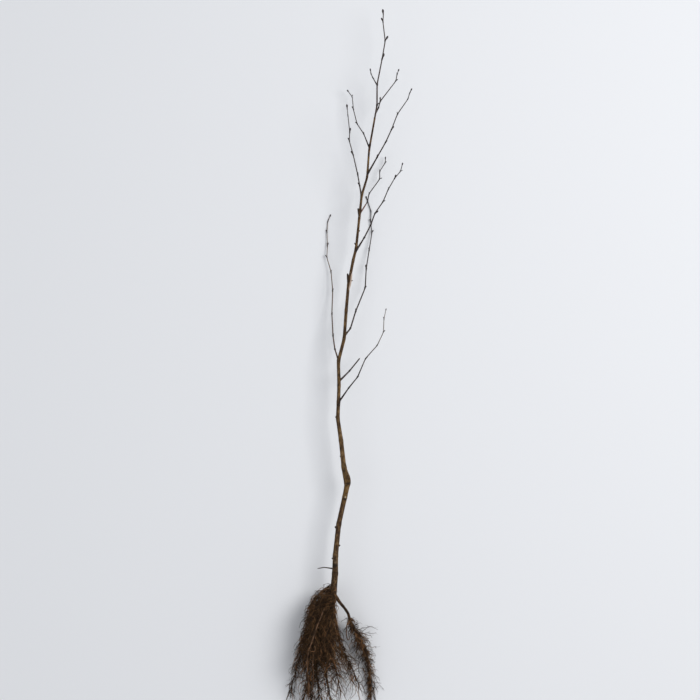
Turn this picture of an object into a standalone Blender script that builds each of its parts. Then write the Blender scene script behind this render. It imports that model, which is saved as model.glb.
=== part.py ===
"""A young black alder lifted from the nursery bed with bare roots and laid on the ground.

It is one crooked stem about 1.25 m tall above its root collar, with thin side shoots that carry stalked
buds, and a beard of roots under it. Metres; +Y runs up the stem, +X is the right-hand side and +Z is up
from the ground. The origin is on the ground, at the middle of the plant's length and width.

The stem, the shoots and the roots are chains of straight stretches, each given by its length and by its
bearing in degrees from the stem's line, positive to the right. Heights are measured from the root collar.
"""

import math
import random
from collections import namedtuple

import bmesh
import bpy
from mathutils import Matrix, Vector
from mathutils.geometry import intersect_point_line

# Where the root collar lies, and how the stem lies over the ground
COLLAR = Vector((-0.0270, -0.4570, 0.0578))
STEM_HEIGHT = 1.252
TIP_RISE = 0.017
STEM_SAG = 0.008

# The stem, from the foot of its root crown up to the tip of its leader
STEM_FOOT = Vector((-0.0069, -0.0699, 0.0))
ROOT_CROWN = ((0.042, 5), (0.048, 5))
FIRST_YEAR = (
    (0.039, 1), (0.069, 6), (0.060, 12.5), (0.031, 11.5), (0.037, -12.5), (0.058, -6), (0.049, -8.5),
    (0.035, 2.5), (0.037, 2), (0.053, -1.5), (0.051, 14.5), (0.062, 4),
)
SECOND_YEAR = (
    (0.057, 5), (0.053, 11), (0.027, 14), (0.066, 6), (0.051, 6), (0.041, 17), (0.059, 4), (0.082, 10),
)
LEADER = ((0.018, 10), (0.044, 0), (0.069, 11), (0.028, 10), (0.042, -7), (0.028, 1))
LEADER_START = 1.015

# The stem's diameter at each height: the crown of roots, a slow taper, and the swelling round an old cut
STEM_DIAMETERS = (
    (-0.070, 0.0090), (-0.050, 0.0150), (-0.020, 0.0152), (0.000, 0.0140), (0.050, 0.0120),
    (0.090, 0.0110), (0.208, 0.0108), (0.217, 0.0134), (0.235, 0.0126), (0.262, 0.0104),
    (0.310, 0.0096), (0.345, 0.0084), (0.420, 0.0077), (0.518, 0.0072), (0.700, 0.0064),
    (0.769, 0.0056), (0.878, 0.0049), (1.015, 0.0039), (1.100, 0.0029), (1.252, 0.0020),
)
ROOT_CROWN_RADIUS = 0.0080

# Short spurs, bud stubs and the healed stub of the first leader: height, side (-1 left, 1 right), how far
# each stands out of the stem's middle, its diameter, and its slant from the stem's line
Spur = namedtuple("Spur", "height side reach diameter slant")
SPURS = (
    Spur(0.052, -1, 0.0086, 0.0034, 60),
    Spur(0.081, 1, 0.0086, 0.0034, 60),
    Spur(0.120, -1, 0.0094, 0.0042, 55),
    Spur(0.215, 1, 0.0098, 0.0078, 75),
    Spur(0.271, -1, 0.0088, 0.0036, 50),
    Spur(0.357, -1, 0.0080, 0.0040, 45),
    Spur(0.638, 1, 0.0240, 0.0026, 14),
    Spur(0.655, -1, 0.0210, 0.0038, 8),
    Spur(0.739, -1, 0.0070, 0.0030, 35),
    Spur(0.765, 1, 0.0062, 0.0028, 35),
    Spur(0.804, -1, 0.0150, 0.0034, 20),
)
SPUR_SHOULDER = 0.6
SPUR_TAPER = 0.7

# The side shoots: the height of the fork, how far the tip lies above or below the fork, the diameters at
# the base and the tip, how many internodes the bare bough has before its twig with buds begins, and the
# side of the twig's first bud
Shoot = namedtuple("Shoot", "name fork rise base tip bough_internodes first_bud internodes")
ON_THE_GROUND = None
SHOOTS = (
    Shoot("lowest_right", 0.393, 0.060, 0.0032, 0.0016, 3, -1,
          ((0.040, 35), (0.030, 39), (0.044, 23), (0.038, 42), (0.032, 25), (0.028, 2), (0.023, 12))),
    Shoot("broken_right", 0.439, -0.022, 0.0034, 0.0028, 2, 1,
          ((0.033, 45), (0.034, 39))),
    Shoot("long_left", 0.483, ON_THE_GROUND, 0.0031, 0.0016, 4, 1,
          ((0.028, -18), (0.035, -8), (0.043, -3), (0.051, 2), (0.041, -5), (0.034, -16), (0.025, 3),
           (0.030, -2), (0.021, 4), (0.017, 22))),
    Shoot("long_right", 0.538, ON_THE_GROUND, 0.0034, 0.0020, 3, 1,
          ((0.026, 36), (0.034, 16), (0.056, 22), (0.045, 3), (0.038, 9), (0.038, 9), (0.025, -6),
           (0.022, 2), (0.022, -19), (0.012, -17))),
    Shoot("middle_right", 0.721, 0.045, 0.0035, 0.0020, 3, 1,
          ((0.038, 32), (0.030, 27), (0.027, 20), (0.031, 35), (0.029, 23), (0.027, 30), (0.020, 40),
           (0.020, 15))),
    Shoot("rear_right", 0.805, -0.050, 0.0024, 0.0018, 1, 1,
          ((0.050, 26), (0.040, 36), (0.017, -1), (0.024, 33), (0.009, -12))),
    Shoot("upper_left", 0.842, 0.034, 0.0030, 0.0018, 2, -1,
          ((0.049, -10), (0.044, -13), (0.033, -16), (0.027, 3), (0.025, -11), (0.026, -6))),
    Shoot("upper_right", 0.891, 0.052, 0.0034, 0.0020, 3, -1,
          ((0.042, 30), (0.038, 30), (0.030, 25), (0.035, 21), (0.040, 35), (0.013, 16), (0.012, 26))),
    Shoot("top_left", 0.948, -0.040, 0.0025, 0.0017, 1, -1,
          ((0.035, -21), (0.027, -33), (0.033, -14), (0.027, -5), (0.016, -40))),
)
LEADER_SHOOTS = (
    Shoot("leader_spur", 1.025, 0.014, 0.0024, 0.0018, 0, 1, ((0.022, 24), (0.012, 15))),
    Shoot("leader_right", 1.036, -0.012, 0.0025, 0.0018, 0, 1, ((0.047, 38), (0.028, 32), (0.026, 14))),
    Shoot("leader_left", 1.085, 0.010, 0.0022, 0.0018, 0, -1, ((0.029, -29), (0.008, -9))),
)
RISE_POWER = 1.8
FORK_SWELLING = 0.45
FORK_COLLAR = 0.006

# The stalked buds, one at each node, to the left and the right by turns
BUD_SEED = 7
BUD_LENGTH = 0.0095
BUD_DIAMETER = 0.0033
BUD_SMALLEST = 0.80
BUD_SLANT = 18
BUD_ROLL = 35
BUD_PROFILE = ((0.0, 0.45), (0.34, 0.5), (0.62, 1.0), (1.0, 0.14))

# The roots: the height where each leaves the root crown, how high its tip lies over the ground, its
# diameters, how long its bare limb is before the fine roots begin, and how many of those it bears
Root = namedtuple("Root", "name height tip_height base tip limb fine_roots stretches")
ROOTS = (
    Root("right", -0.0328, 0.003, 0.0066, 0.0018, 0.080, 24,
         ((0.020, 41), (0.024, 33), (0.020, 19), (0.032, 33), (0.044, 27), (0.045, 11), (0.039, 2),
          (0.048, 6), (0.040, 7))),
    Root("far_left", -0.0153, 0.003, 0.0044, 0.0016, 0.030, 28,
         ((0.040, -39), (0.037, -28), (0.052, -22), (0.050, -18), (0.052, -15), (0.033, -7))),
    Root("left", -0.0350, 0.044, 0.0050, 0.0020, 0.028, 30,
         ((0.044, -33), (0.070, -20), (0.034, -13), (0.043, 0), (0.056, 10), (0.050, 5))),
    Root("middle_left", -0.0481, 0.020, 0.0044, 0.0016, 0.028, 25,
         ((0.042, -21), (0.052, -13), (0.051, -9), (0.059, 4), (0.059, 8))),
    Root("middle", -0.0612, 0.060, 0.0050, 0.0016, 0.034, 24,
         ((0.039, -3), (0.053, -7), (0.051, -5), (0.055, 12), (0.077, 5))),
    Root("middle_right", -0.0503, 0.030, 0.0044, 0.0016, 0.036, 22,
         ((0.047, 12), (0.049, 10), (0.034, 27), (0.026, 31), (0.042, 21))),
    Root("upper", -0.0219, 0.096, 0.0044, 0.0016, 0.034, 32,
         ((0.051, -12), (0.055, -5), (0.058, 20), (0.056, 11))),
    Root("under", -0.0262, 0.003, 0.0046, 0.0016, 0.030, 24,
         ((0.055, -16), (0.072, -14), (0.068, -15), (0.060, -21))),
    Root("collar_left", -0.0060, 0.044, 0.0028, 0.0012, 0.0, 28,
         ((0.028, -67), (0.030, -42), (0.041, -16), (0.049, -13), (0.046, -19))),
    Root("collar_upper", -0.0120, 0.084, 0.0026, 0.0012, 0.0, 22,
         ((0.030, -48), (0.035, -22), (0.044, -9), (0.050, -7))),
)
STEM_ROOTLET = Root("stem_rootlet", 0.0295, 0.040, 0.0020, 0.0012, 0.0, 0, ((0.024, -97), (0.016, -78)))

# The beard of roots keeps inside an outline: its left and right edges at each height below the collar.
# One long root hangs apart from it, on the right.
BEARD = (
    (0.000, -0.020, 0.012), (-0.020, -0.048, 0.010), (-0.060, -0.060, 0.014), (-0.105, -0.067, 0.020),
    (-0.150, -0.086, 0.046), (-0.190, -0.100, 0.060), (-0.338, -0.125, 0.098),
)
APART_FROM_BEARD = "right"
LOWEST_ROOT = -0.338

# A fine root: it leaves its strand at a slant, then turns to run on with it, and sags
ROOT_SEED = 40
FINE_ROOT_LENGTHS = (0.032, 0.085)
FINE_ROOT_DIAMETERS = (0.0014, 0.0007)
FINE_ROOT_SLANTS = (15, 55)
FINE_ROOT_STEPS = 4
FINE_ROOT_PULL = 0.40
FINE_ROOT_WANDER = 0.45
FINE_ROOT_SAG = 0.12
FINE_ROOT_TRIES = 12
LAST_FINE_ROOT = 0.97

# Making: sides of the rings, how far a corner is cut back, and the gap between neighbouring solids
STEM_SIDES = 8
SHOOT_SIDES = 6
BUD_SIDES = 5
ROOT_SIDES = 6
FINE_ROOT_SIDES = 3
CORNER_SHARE = 0.14
SHARP_ANGLE = 50
GAP = 0.0003


def clear_scene():
    for obj in list(bpy.data.objects):
        bpy.data.objects.remove(obj)


def bark(name, colour, roughness):
    """A plain bark: its colour, how rough it is, and no metal."""
    made = bpy.data.materials.new(name)
    made.use_nodes = True
    shader = made.node_tree.nodes["Principled BSDF"]
    shader.inputs["Base Color"].default_value = (*colour, 1.0)
    shader.inputs["Roughness"].default_value = roughness
    shader.inputs["Metallic"].default_value = 0.0
    return made


def walk(start, stretches, way=1):
    """The corners of a chain of stretches laid flat from start; way is 1 up the stem and -1 down it."""
    points = [Vector(start)]
    for length, bearing in stretches:
        turn = math.radians(bearing)
        points.append(points[-1] + Vector((math.sin(turn), way * math.cos(turn), 0.0)) * length)
    return points


def reached(points):
    """How far along the points each of them is."""
    lengths = [0.0]
    for before, after in zip(points, points[1:]):
        lengths.append(lengths[-1] + (after - before).length)
    return lengths


def lifted(points, rise):
    """The points bent up by rise at their end, most of it near their start."""
    lengths = reached(points)
    lift = [rise * (1 - (1 - length / lengths[-1]) ** RISE_POWER) for length in lengths]
    return [point + Vector((0.0, 0.0, up)) for point, up in zip(points, lift)]


def corners_cut(points):
    """The same points with each corner cut back by a share of the stretches beside it."""
    cut = [points[0]]
    for before, corner, after in zip(points, points[1:], points[2:]):
        cut.append(corner.lerp(before, CORNER_SHARE))
        cut.append(corner.lerp(after, CORNER_SHARE))
    cut.append(points[-1])
    return cut


class Route:
    """The middle line of a limb, with its radius at each point."""

    def __init__(self, points, radii):
        self.points = points
        self.radii = radii
        self.marks = reached(points)
        self.length = self.marks[-1]

    def at(self, length):
        """The point and the radius at that length along the route, and the way it runs there."""
        i = next((i for i, mark in enumerate(self.marks[1:]) if length <= mark), len(self.marks) - 2)
        before, after = self.points[i:i + 2]
        share = (length - self.marks[i]) / (self.marks[i + 1] - self.marks[i])
        radius = self.radii[i] + (self.radii[i + 1] - self.radii[i]) * share
        return before.lerp(after, share), radius, (after - before).normalized()

    def part(self, start, end):
        """The route from one length along it to another."""
        inner = [i for i, mark in enumerate(self.marks) if start < mark < end]
        first, last = self.at(start), self.at(end)
        points = [first[0], *(self.points[i] for i in inner), last[0]]
        return Route(points, [first[1], *(self.radii[i] for i in inner), last[1]])

    def nearest(self, point):
        """How far the point is from the route, and the length along it of the place nearest to it."""
        found = (math.inf, 0.0)
        for mark, before, after in zip(self.marks, self.points, self.points[1:]):
            share = min(max(intersect_point_line(point, before, after)[1], 0.0), 1.0)
            gap = (before.lerp(after, share) - point).length
            found = min(found, (gap, mark + (after - before).length * share))
        return found

    def at_height(self, height):
        """The point of the stem's route at a height above the collar."""
        y = COLLAR.y + height
        before, after = next(pair for pair in zip(self.points, self.points[1:]) if y <= pair[1].y)
        return before.lerp(after, (y - before.y) / (after.y - before.y))


def tapered(points, base, tip, swelling=0.0):
    """A route of even taper, with a swollen collar at its base."""
    marks = reached(points)
    even = [(base + (tip - base) * mark / marks[-1]) / 2 for mark in marks]
    return Route(points, [r * (1 + swelling * math.exp(-m / FORK_COLLAR)) for r, m in zip(even, marks)])


Ring = namedtuple("Ring", "point turn radius")


def rings_along(route):
    """A ring at each point of the route, square to it, that turns no more than the route does."""
    rings = []
    side = None
    ways = [(after - before).normalized() for before, after in zip(route.points, route.points[1:])]
    for point, radius, before, after in zip(route.points, route.radii, ways[:1] + ways, ways + ways[-1:]):
        axis = (before + after).normalized()
        side = axis.orthogonal() if side is None else side - axis * side.dot(axis)
        side = side.normalized()
        turn = Matrix((side, axis.cross(side), axis)).transposed().to_4x4()
        rings.append(Ring(point, turn, radius))
    return rings


def ring_move(here, there):
    """The matrix that carries one ring onto another."""
    size = Matrix.Scale(there.radius / here.radius, 4)
    there_from_unit = Matrix.Translation(there.point) @ there.turn @ size
    return there_from_unit @ here.turn.transposed() @ Matrix.Translation(-here.point)


def limb(name, route, sides):
    """A closed limb: a ring of that many sides, extruded along the route."""
    bm = bmesh.new()
    rings = rings_along(route)
    first = Matrix.Translation(rings[0].point) @ rings[0].turn
    bmesh.ops.create_circle(bm, cap_ends=True, segments=sides, radius=rings[0].radius, matrix=first)
    rim = list(bm.edges)
    for here, there in zip(rings, rings[1:]):
        made = bmesh.ops.extrude_edge_only(bm, edges=rim)["geom"]
        rim = [part for part in made if isinstance(part, bmesh.types.BMEdge)]
        moved = [part for part in made if isinstance(part, bmesh.types.BMVert)]
        bmesh.ops.transform(bm, matrix=ring_move(here, there), verts=moved)
    bmesh.ops.edgeloop_fill(bm, edges=rim)
    bmesh.ops.recalc_face_normals(bm, faces=bm.faces)
    mesh = bpy.data.meshes.new(name)
    bm.to_mesh(mesh)
    bm.free()
    obj = bpy.data.objects.new(name, mesh)
    bpy.context.scene.collection.objects.link(obj)
    return obj


def apply_boolean(obj, operation, **operand):
    """Applies one Boolean to the object and leaves it no modifier."""
    modifier = obj.modifiers.new(operation.lower(), "BOOLEAN")
    modifier.operation = operation
    modifier.solver = "EXACT"
    for setting, value in operand.items():
        setattr(modifier, setting, value)
    graph = bpy.context.evaluated_depsgraph_get()
    mesh = bpy.data.meshes.new_from_object(obj.evaluated_get(graph))
    obj.modifiers.clear()
    obj.data = mesh


def fuse(body, others):
    """Joins the other objects into the body by one union, and removes them."""
    group = bpy.data.collections.new(body.name)
    bpy.context.scene.collection.children.link(group)
    for obj in others:
        group.objects.link(obj)
        bpy.context.scene.collection.objects.unlink(obj)
    apply_boolean(body, "UNION", operand_type="COLLECTION", collection=group)
    for obj in others:
        bpy.data.objects.remove(obj)
    bpy.data.collections.remove(group)


def finish(obj, name, start, its_bark, plant):
    """Names a finished sub-part, puts its origin at its start and hangs it on the plant."""
    obj.name = name
    obj.data.name = name
    obj.data.transform(Matrix.Translation(-start))
    obj.location = start
    obj.data.materials.clear()
    obj.data.materials.append(its_bark)
    obj.data.shade_smooth()
    obj.data.set_sharp_from_angle(angle=math.radians(SHARP_ANGLE))
    obj.parent = plant


def stem_radius(height):
    """Half the stem's diameter at a height above the collar."""
    for (low, wide), (high, narrow) in zip(STEM_DIAMETERS, STEM_DIAMETERS[1:]):
        if height <= high:
            return (wide + (narrow - wide) * max(height - low, 0.0) / (high - low)) / 2
    return narrow / 2


def stem_corners():
    """The stem's corners: it rises slowly to the tip, and sags a little in the middle."""
    corners = walk(COLLAR + STEM_FOOT, ROOT_CROWN + FIRST_YEAR + SECOND_YEAR + LEADER)
    for corner in corners:
        share = max((corner.y - COLLAR.y) / STEM_HEIGHT, 0.0)
        corner.z += TIP_RISE * share - STEM_SAG * math.sin(math.pi * share)
    return corners


def stem_route():
    points = corners_cut(stem_corners())
    return Route(points, [stem_radius(point.y - COLLAR.y) for point in points])


def make_keep_clear(trunk):
    """The tool that keeps boughs and roots clear of the trunk: the trunk, grown by the gap all round."""
    foot = trunk.points[0] - trunk.at(0.0)[2] * GAP
    top = trunk.points[-1] + trunk.at(trunk.length)[2] * GAP
    grown = Route([foot, *trunk.points[1:-1], top], [radius + GAP for radius in trunk.radii])
    tool = limb("keep_clear", grown, STEM_SIDES)
    tool.hide_render = True
    tool.display_type = "WIRE"
    return tool


def make_stem(stem, trunk, stem_bark, plant):
    """The stem from its root crown up to the leader, with its spurs and the stub of its old cut."""
    body = limb("stem", trunk, STEM_SIDES)
    spurs = []
    for spur in SPURS:
        foot = stem.at_height(spur.height)
        slant = math.radians(spur.slant * spur.side)
        end = foot + Vector((math.sin(slant), math.cos(slant), 0.0)) * spur.reach
        width = spur.diameter / 2
        points = [foot, foot.lerp(end, SPUR_SHOULDER), end]
        spurs.append(limb("spur", Route(points, [width, width, width * SPUR_TAPER]), SHOOT_SIDES))
    fuse(body, spurs)
    finish(body, "stem", trunk.points[0], stem_bark, plant)


def bud(foot, way, side, roll, scale):
    """A stalked bud with its foot in the twig's middle and its tip no lower than the ground.

    Side is -1 left, 1 right and 0 straight on.
    """
    across = way.cross(Vector((0.0, 0.0, 1.0))).normalized() * side
    out = Matrix.Rotation(math.radians(roll), 3, way) @ across
    slant = math.radians(BUD_SLANT * abs(side))
    reach = (way * math.cos(slant) + out * math.sin(slant)) * BUD_LENGTH * scale
    reach.z = max(reach.z, BUD_DIAMETER / 2 - foot.z)
    points = [foot + reach * share for share, _ in BUD_PROFILE]
    radii = [BUD_DIAMETER / 2 * scale * width for _, width in BUD_PROFILE]
    return limb("bud", Route(points, radii), BUD_SIDES)


def buds_along(corners, route, side, rng):
    """A bud at each node of a twig, by turns from the given side, and one at its tip."""
    buds = []
    for before, node in zip(corners, corners[1:-1]):
        foot = route.at(route.nearest(node)[1])[0]
        roll = rng.uniform(-BUD_ROLL, BUD_ROLL)
        scale = rng.uniform(BUD_SMALLEST, 1.0)
        buds.append(bud(foot, (node - before).normalized(), side, roll, scale))
        side = -side
    way = (corners[-1] - corners[-2]).normalized()
    buds.append(bud(corners[-1] - way * BUD_LENGTH, way, 0, 0.0, 1.0))
    return buds


def shoot_corners(shoot, stem):
    """The nodes of a side shoot, from the stem's middle to its tip."""
    start = stem.at_height(shoot.fork)
    rise = BUD_DIAMETER / 2 - start.z if shoot.rise is ON_THE_GROUND else shoot.rise
    return lifted(walk(start, shoot.internodes), rise)


def make_bough(name, route, keep_clear, shoot_bark, plant):
    """A bare bough, cut clear of the trunk."""
    obj = limb(name, route, SHOOT_SIDES)
    apply_boolean(obj, "DIFFERENCE", object=keep_clear)
    finish(obj, name, route.points[0], shoot_bark, plant)


def make_shoot(shoot, stem, keep_clear, shoot_bark, twig_bark, plant, rng):
    """A bough that leaves the stem, and the twig with buds that carries on from its end."""
    corners = shoot_corners(shoot, stem)
    route = tapered(corners_cut(corners), shoot.base, shoot.tip, FORK_SWELLING)
    if shoot.bough_internodes == len(shoot.internodes):
        make_bough(shoot.name + "_bough", route, keep_clear, shoot_bark, plant)
        return
    twig_corners = corners[shoot.bough_internodes:]
    split = route.nearest(twig_corners[0].lerp(twig_corners[1], 0.5))[1]
    make_bough(shoot.name + "_bough", route.part(0.0, split), keep_clear, shoot_bark, plant)
    twig = route.part(split + GAP, route.length - BUD_LENGTH / 2)
    body = limb(shoot.name, twig, SHOOT_SIDES)
    fuse(body, buds_along(twig_corners, route, shoot.first_bud, rng))
    finish(body, shoot.name + "_twig", twig.points[0], twig_bark, plant)


def make_leader(stem, twig_bark, plant, rng):
    """The leader above the trunk, with its three short side shoots and all their buds."""
    start = stem.nearest(stem.at_height(LEADER_START))[1] + GAP
    leader = stem.part(start, stem.length - BUD_LENGTH / 2)
    body = limb("leader", leader, SHOOT_SIDES)
    others = buds_along(stem_corners()[1 - len(LEADER):], stem, -1, rng)
    for shoot in LEADER_SHOOTS:
        corners = shoot_corners(shoot, stem)
        route = tapered(corners_cut(corners), shoot.base, shoot.tip)
        others.append(limb(shoot.name, route.part(0.0, route.length - BUD_LENGTH / 2), SHOOT_SIDES))
        others.extend(buds_along(corners, route, shoot.first_bud, rng))
    fuse(body, others)
    finish(body, "leader_twigs", leader.points[0], twig_bark, plant)


def root_route(root, stem):
    """A root's route, from the root crown's middle down to its tip."""
    start = stem.at_height(root.height)
    corners = lifted(walk(start, root.stretches, way=-1), root.tip_height - start.z)
    return tapered(corners_cut(corners), root.base, root.tip, FORK_SWELLING)


def fine_root(rng, strand, mark, length):
    """The route of one fine root that leaves the strand at that length along it."""
    start, _, along = strand.at(mark)
    slant = math.radians(rng.uniform(*FINE_ROOT_SLANTS))
    out = Matrix.Rotation(rng.uniform(0.0, math.tau), 3, along) @ along.orthogonal().normalized()
    heading = along * math.cos(slant) + out * math.sin(slant)
    points = [start]
    for _ in range(FINE_ROOT_STEPS):
        wander = Vector([rng.uniform(-1.0, 1.0) for _ in range(3)]) * FINE_ROOT_WANDER
        heading = heading + along * FINE_ROOT_PULL + wander - Vector((0.0, 0.0, FINE_ROOT_SAG))
        heading.normalize()
        point = points[-1] + heading * length / FINE_ROOT_STEPS
        point.z = max(point.z, FINE_ROOT_DIAMETERS[0] / 2)
        points.append(point)
    return tapered(points, *FINE_ROOT_DIAMETERS)


def in_beard(point):
    """True where the point lies inside the outline of the beard of roots."""
    height = point.y - COLLAR.y
    for (high, left_above, right_above), (low, left_below, right_below) in zip(BEARD, BEARD[1:]):
        if low <= height <= high:
            share = (high - height) / (high - low)
            left = left_above + (left_below - left_above) * share
            right = right_above + (right_below - right_above) * share
            return left <= point.x - COLLAR.x <= right
    return False


def keeps_to_its_space(fine, root, routes, limbs):
    """True where a fine root stays in the beard, nearest to its own root and clear of every limb."""
    clear = FINE_ROOT_DIAMETERS[0] / 2 + GAP
    for point in fine.points[1:]:
        if point.y < COLLAR.y + LOWEST_ROOT:
            return False
        if root.name != APART_FROM_BEARD and not in_beard(point):
            return False
        own = routes[root.name].nearest(point)[0]
        others = [route.nearest(point)[0] for name, route in routes.items() if name != root.name]
        if (min(others) - own) / 2 < clear:
            return False
        if any(route.nearest(point)[0] < thickest + clear + GAP for route, thickest in limbs):
            return False
    return True


def fine_roots(root, strand, routes, limbs, rng):
    """The fine roots of one mass, in order down its strand; one that leaves its space is tried again.

    A strand with no bare limb starts inside the root crown, so its first fine roots wait till it is out.
    """
    first = 0.0 if root.limb else 2 * ROOT_CROWN_RADIUS
    last = LAST_FINE_ROOT * strand.length
    kept = []
    for i in range(root.fine_roots):
        for _ in range(FINE_ROOT_TRIES):
            mark = first + (last - first) * (i + rng.random()) / root.fine_roots
            fine = fine_root(rng, strand, mark, rng.uniform(*FINE_ROOT_LENGTHS))
            if keeps_to_its_space(fine, root, routes, limbs):
                kept.append(fine)
                break
    return kept


def make_root(root, routes, limbs, keep_clear, root_bark, fine_bark, plant, rng):
    """A root's bare limb, and the mass of fine roots on the strand that carries on from its end."""
    route = routes[root.name]
    strand = route
    if root.limb:
        bare = route.part(0.0, root.limb)
        strand = route.part(root.limb + GAP, route.length)
        bare_limb = limb(root.name, bare, ROOT_SIDES)
        apply_boolean(bare_limb, "DIFFERENCE", object=keep_clear)
        finish(bare_limb, root.name + "_root", bare.points[0], root_bark, plant)
    body = limb(root.name, strand, ROOT_SIDES)
    fine = fine_roots(root, strand, routes, limbs, rng)
    fuse(body, [limb("fine_root", one, FINE_ROOT_SIDES) for one in fine])
    if not root.limb:
        apply_boolean(body, "DIFFERENCE", object=keep_clear)
    finish(body, root.name + "_root_fibres", strand.points[0], fine_bark, plant)


def make_stem_rootlet(stem, keep_clear, root_bark, plant):
    """The one thin root that left the stem a little above the collar."""
    route = root_route(STEM_ROOTLET, stem)
    obj = limb("stem_rootlet", route, SHOOT_SIDES)
    apply_boolean(obj, "DIFFERENCE", object=keep_clear)
    finish(obj, "stem_rootlet", route.points[0], root_bark, plant)


def main():
    clear_scene()
    plant = bpy.data.objects.new("black_alder", None)
    bpy.context.scene.collection.objects.link(plant)
    stem_bark = bark("stem_bark", (0.105, 0.070, 0.040), 0.62)
    shoot_bark = bark("shoot_bark", (0.100, 0.058, 0.040), 0.50)
    twig_bark = bark("twig_bark", (0.070, 0.042, 0.036), 0.48)
    root_bark = bark("root_bark", (0.045, 0.030, 0.022), 0.80)
    fine_bark = bark("fine_root_bark", (0.030, 0.020, 0.015), 0.85)

    stem = stem_route()
    trunk = stem.part(0.0, stem.nearest(stem.at_height(LEADER_START))[1])
    keep_clear = make_keep_clear(trunk)
    make_stem(stem, trunk, stem_bark, plant)

    buds_rng = random.Random(BUD_SEED)
    for shoot in SHOOTS:
        make_shoot(shoot, stem, keep_clear, shoot_bark, twig_bark, plant, buds_rng)
    make_leader(stem, twig_bark, plant, buds_rng)

    routes = {root.name: root_route(root, stem) for root in ROOTS}
    crown = stem.part(0.0, stem.nearest(stem.at_height(STEM_ROOTLET.height))[1])
    limbs = [(crown, ROOT_CROWN_RADIUS)]
    limbs += [(routes[root.name].part(0.0, root.limb), root.base / 2) for root in ROOTS if root.limb]
    for i, root in enumerate(ROOTS):
        rng = random.Random(ROOT_SEED + i)
        make_root(root, routes, limbs, keep_clear, root_bark, fine_bark, plant, rng)
    make_stem_rootlet(stem, keep_clear, root_bark, plant)


main()
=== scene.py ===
"""A bare-rooted black alder laid on pale ground and seen from straight above.

The sections follow the plant as it grows: the stem, its spurs and scars, the side shoots, the leader, the
buds, the main roots, the fine roots, the long strands and the hair roots. The ground, the light and the
camera come last. Lengths are in metres, and bearings in degrees to the right of straight up the plant.
"""

import math
import random
from collections import namedtuple

import bmesh
import bpy
import numpy as np
from mathutils import Matrix, Vector, noise
from mathutils.geometry import intersect_point_line


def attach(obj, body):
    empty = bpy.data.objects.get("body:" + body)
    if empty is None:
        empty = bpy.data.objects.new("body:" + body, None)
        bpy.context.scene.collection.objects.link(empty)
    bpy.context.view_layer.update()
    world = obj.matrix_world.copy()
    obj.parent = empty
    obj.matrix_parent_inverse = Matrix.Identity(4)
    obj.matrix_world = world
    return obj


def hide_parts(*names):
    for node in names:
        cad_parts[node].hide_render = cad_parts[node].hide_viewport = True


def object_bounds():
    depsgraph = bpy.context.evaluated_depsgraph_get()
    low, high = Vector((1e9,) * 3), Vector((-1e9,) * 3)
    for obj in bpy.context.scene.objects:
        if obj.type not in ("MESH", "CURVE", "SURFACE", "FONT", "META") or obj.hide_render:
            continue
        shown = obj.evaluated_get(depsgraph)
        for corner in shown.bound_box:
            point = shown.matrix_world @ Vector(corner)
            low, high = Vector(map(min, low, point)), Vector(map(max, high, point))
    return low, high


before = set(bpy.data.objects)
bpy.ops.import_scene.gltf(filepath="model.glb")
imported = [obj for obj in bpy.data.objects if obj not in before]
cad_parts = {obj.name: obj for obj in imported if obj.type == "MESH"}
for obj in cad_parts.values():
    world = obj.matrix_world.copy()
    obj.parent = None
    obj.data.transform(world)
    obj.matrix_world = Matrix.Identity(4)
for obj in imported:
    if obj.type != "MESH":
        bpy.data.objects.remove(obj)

cad_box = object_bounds()


# The stem
# One crooked young stem with thin smooth bark, thickest at its root crown. It grew a stretch at a time and
# turned a little at each node. It is dark with soil at the foot, olive brown above and darker at the top.

COLLAR = Vector((-0.027, -0.457, 0.0578))
STEM_HEIGHT = 1.252
TIP_RISE = 0.017
STEM_SAG = 0.008
STEM_FOOT = Vector((-0.0069, -0.0699, 0.0))
# The stretches from node to node, from the foot up: the length and the bearing of each.
ROOT_CROWN = ((0.042, 5), (0.048, 5))
FIRST_YEAR = (
    (0.039, 1), (0.069, 6), (0.06, 12.5), (0.031, 11.5), (0.037, -12.5), (0.058, -6), (0.049, -8.5),
    (0.035, 2.5), (0.037, 2), (0.053, -1.5), (0.051, 14.5), (0.062, 4),
)
SECOND_YEAR = (
    (0.057, 5), (0.053, 11), (0.027, 14), (0.066, 6), (0.051, 6), (0.041, 17), (0.059, 4), (0.082, 10),
)
LEADER = ((0.018, 10), (0.044, 0), (0.057, 11), (0.04, 10), (0.042, -7), (0.028, 3.5))
LEADER_START = 1.015
# Heights above the collar, and the stem's diameter at each.
STEM_DIAMETERS = (
    (-0.07, 0.008), (-0.052, 0.0116), (-0.034, 0.0148), (-0.02, 0.0152), (0.0, 0.014), (0.05, 0.012),
    (0.09, 0.011), (0.208, 0.0108), (0.217, 0.0134), (0.235, 0.0126), (0.262, 0.0104),
    (0.31, 0.0096), (0.345, 0.0084), (0.42, 0.0077), (0.518, 0.0072), (0.7, 0.0064),
    (0.769, 0.0056), (0.878, 0.0049), (1.015, 0.0039), (1.1, 0.0029), (1.252, 0.002),
)
# A limb's corners are rounded, or cut off where a plainer line will do. Each number is the share of the bend
# at which the line gets a point.
CORNER_SHARE = 0.14
ROUNDED = (0.0, 0.25, 0.5, 0.75, 1.0)
CUT_OFF = (0.0, 1.0)


def walk(start, stretches, way=1):
    """The corners of a chain of stretches laid flat from start; way is 1 up the stem and -1 down it."""
    points = [Vector(start)]
    for length, bearing in stretches:
        turn = math.radians(bearing)
        points.append(points[-1] + Vector((math.sin(turn), way * math.cos(turn), 0.0)) * length)
    return points


def reached(points):
    """How far along the points each of them is."""
    lengths = [0.0]
    for before, after in zip(points, points[1:]):
        lengths.append(lengths[-1] + (after - before).length)
    return lengths


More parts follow.
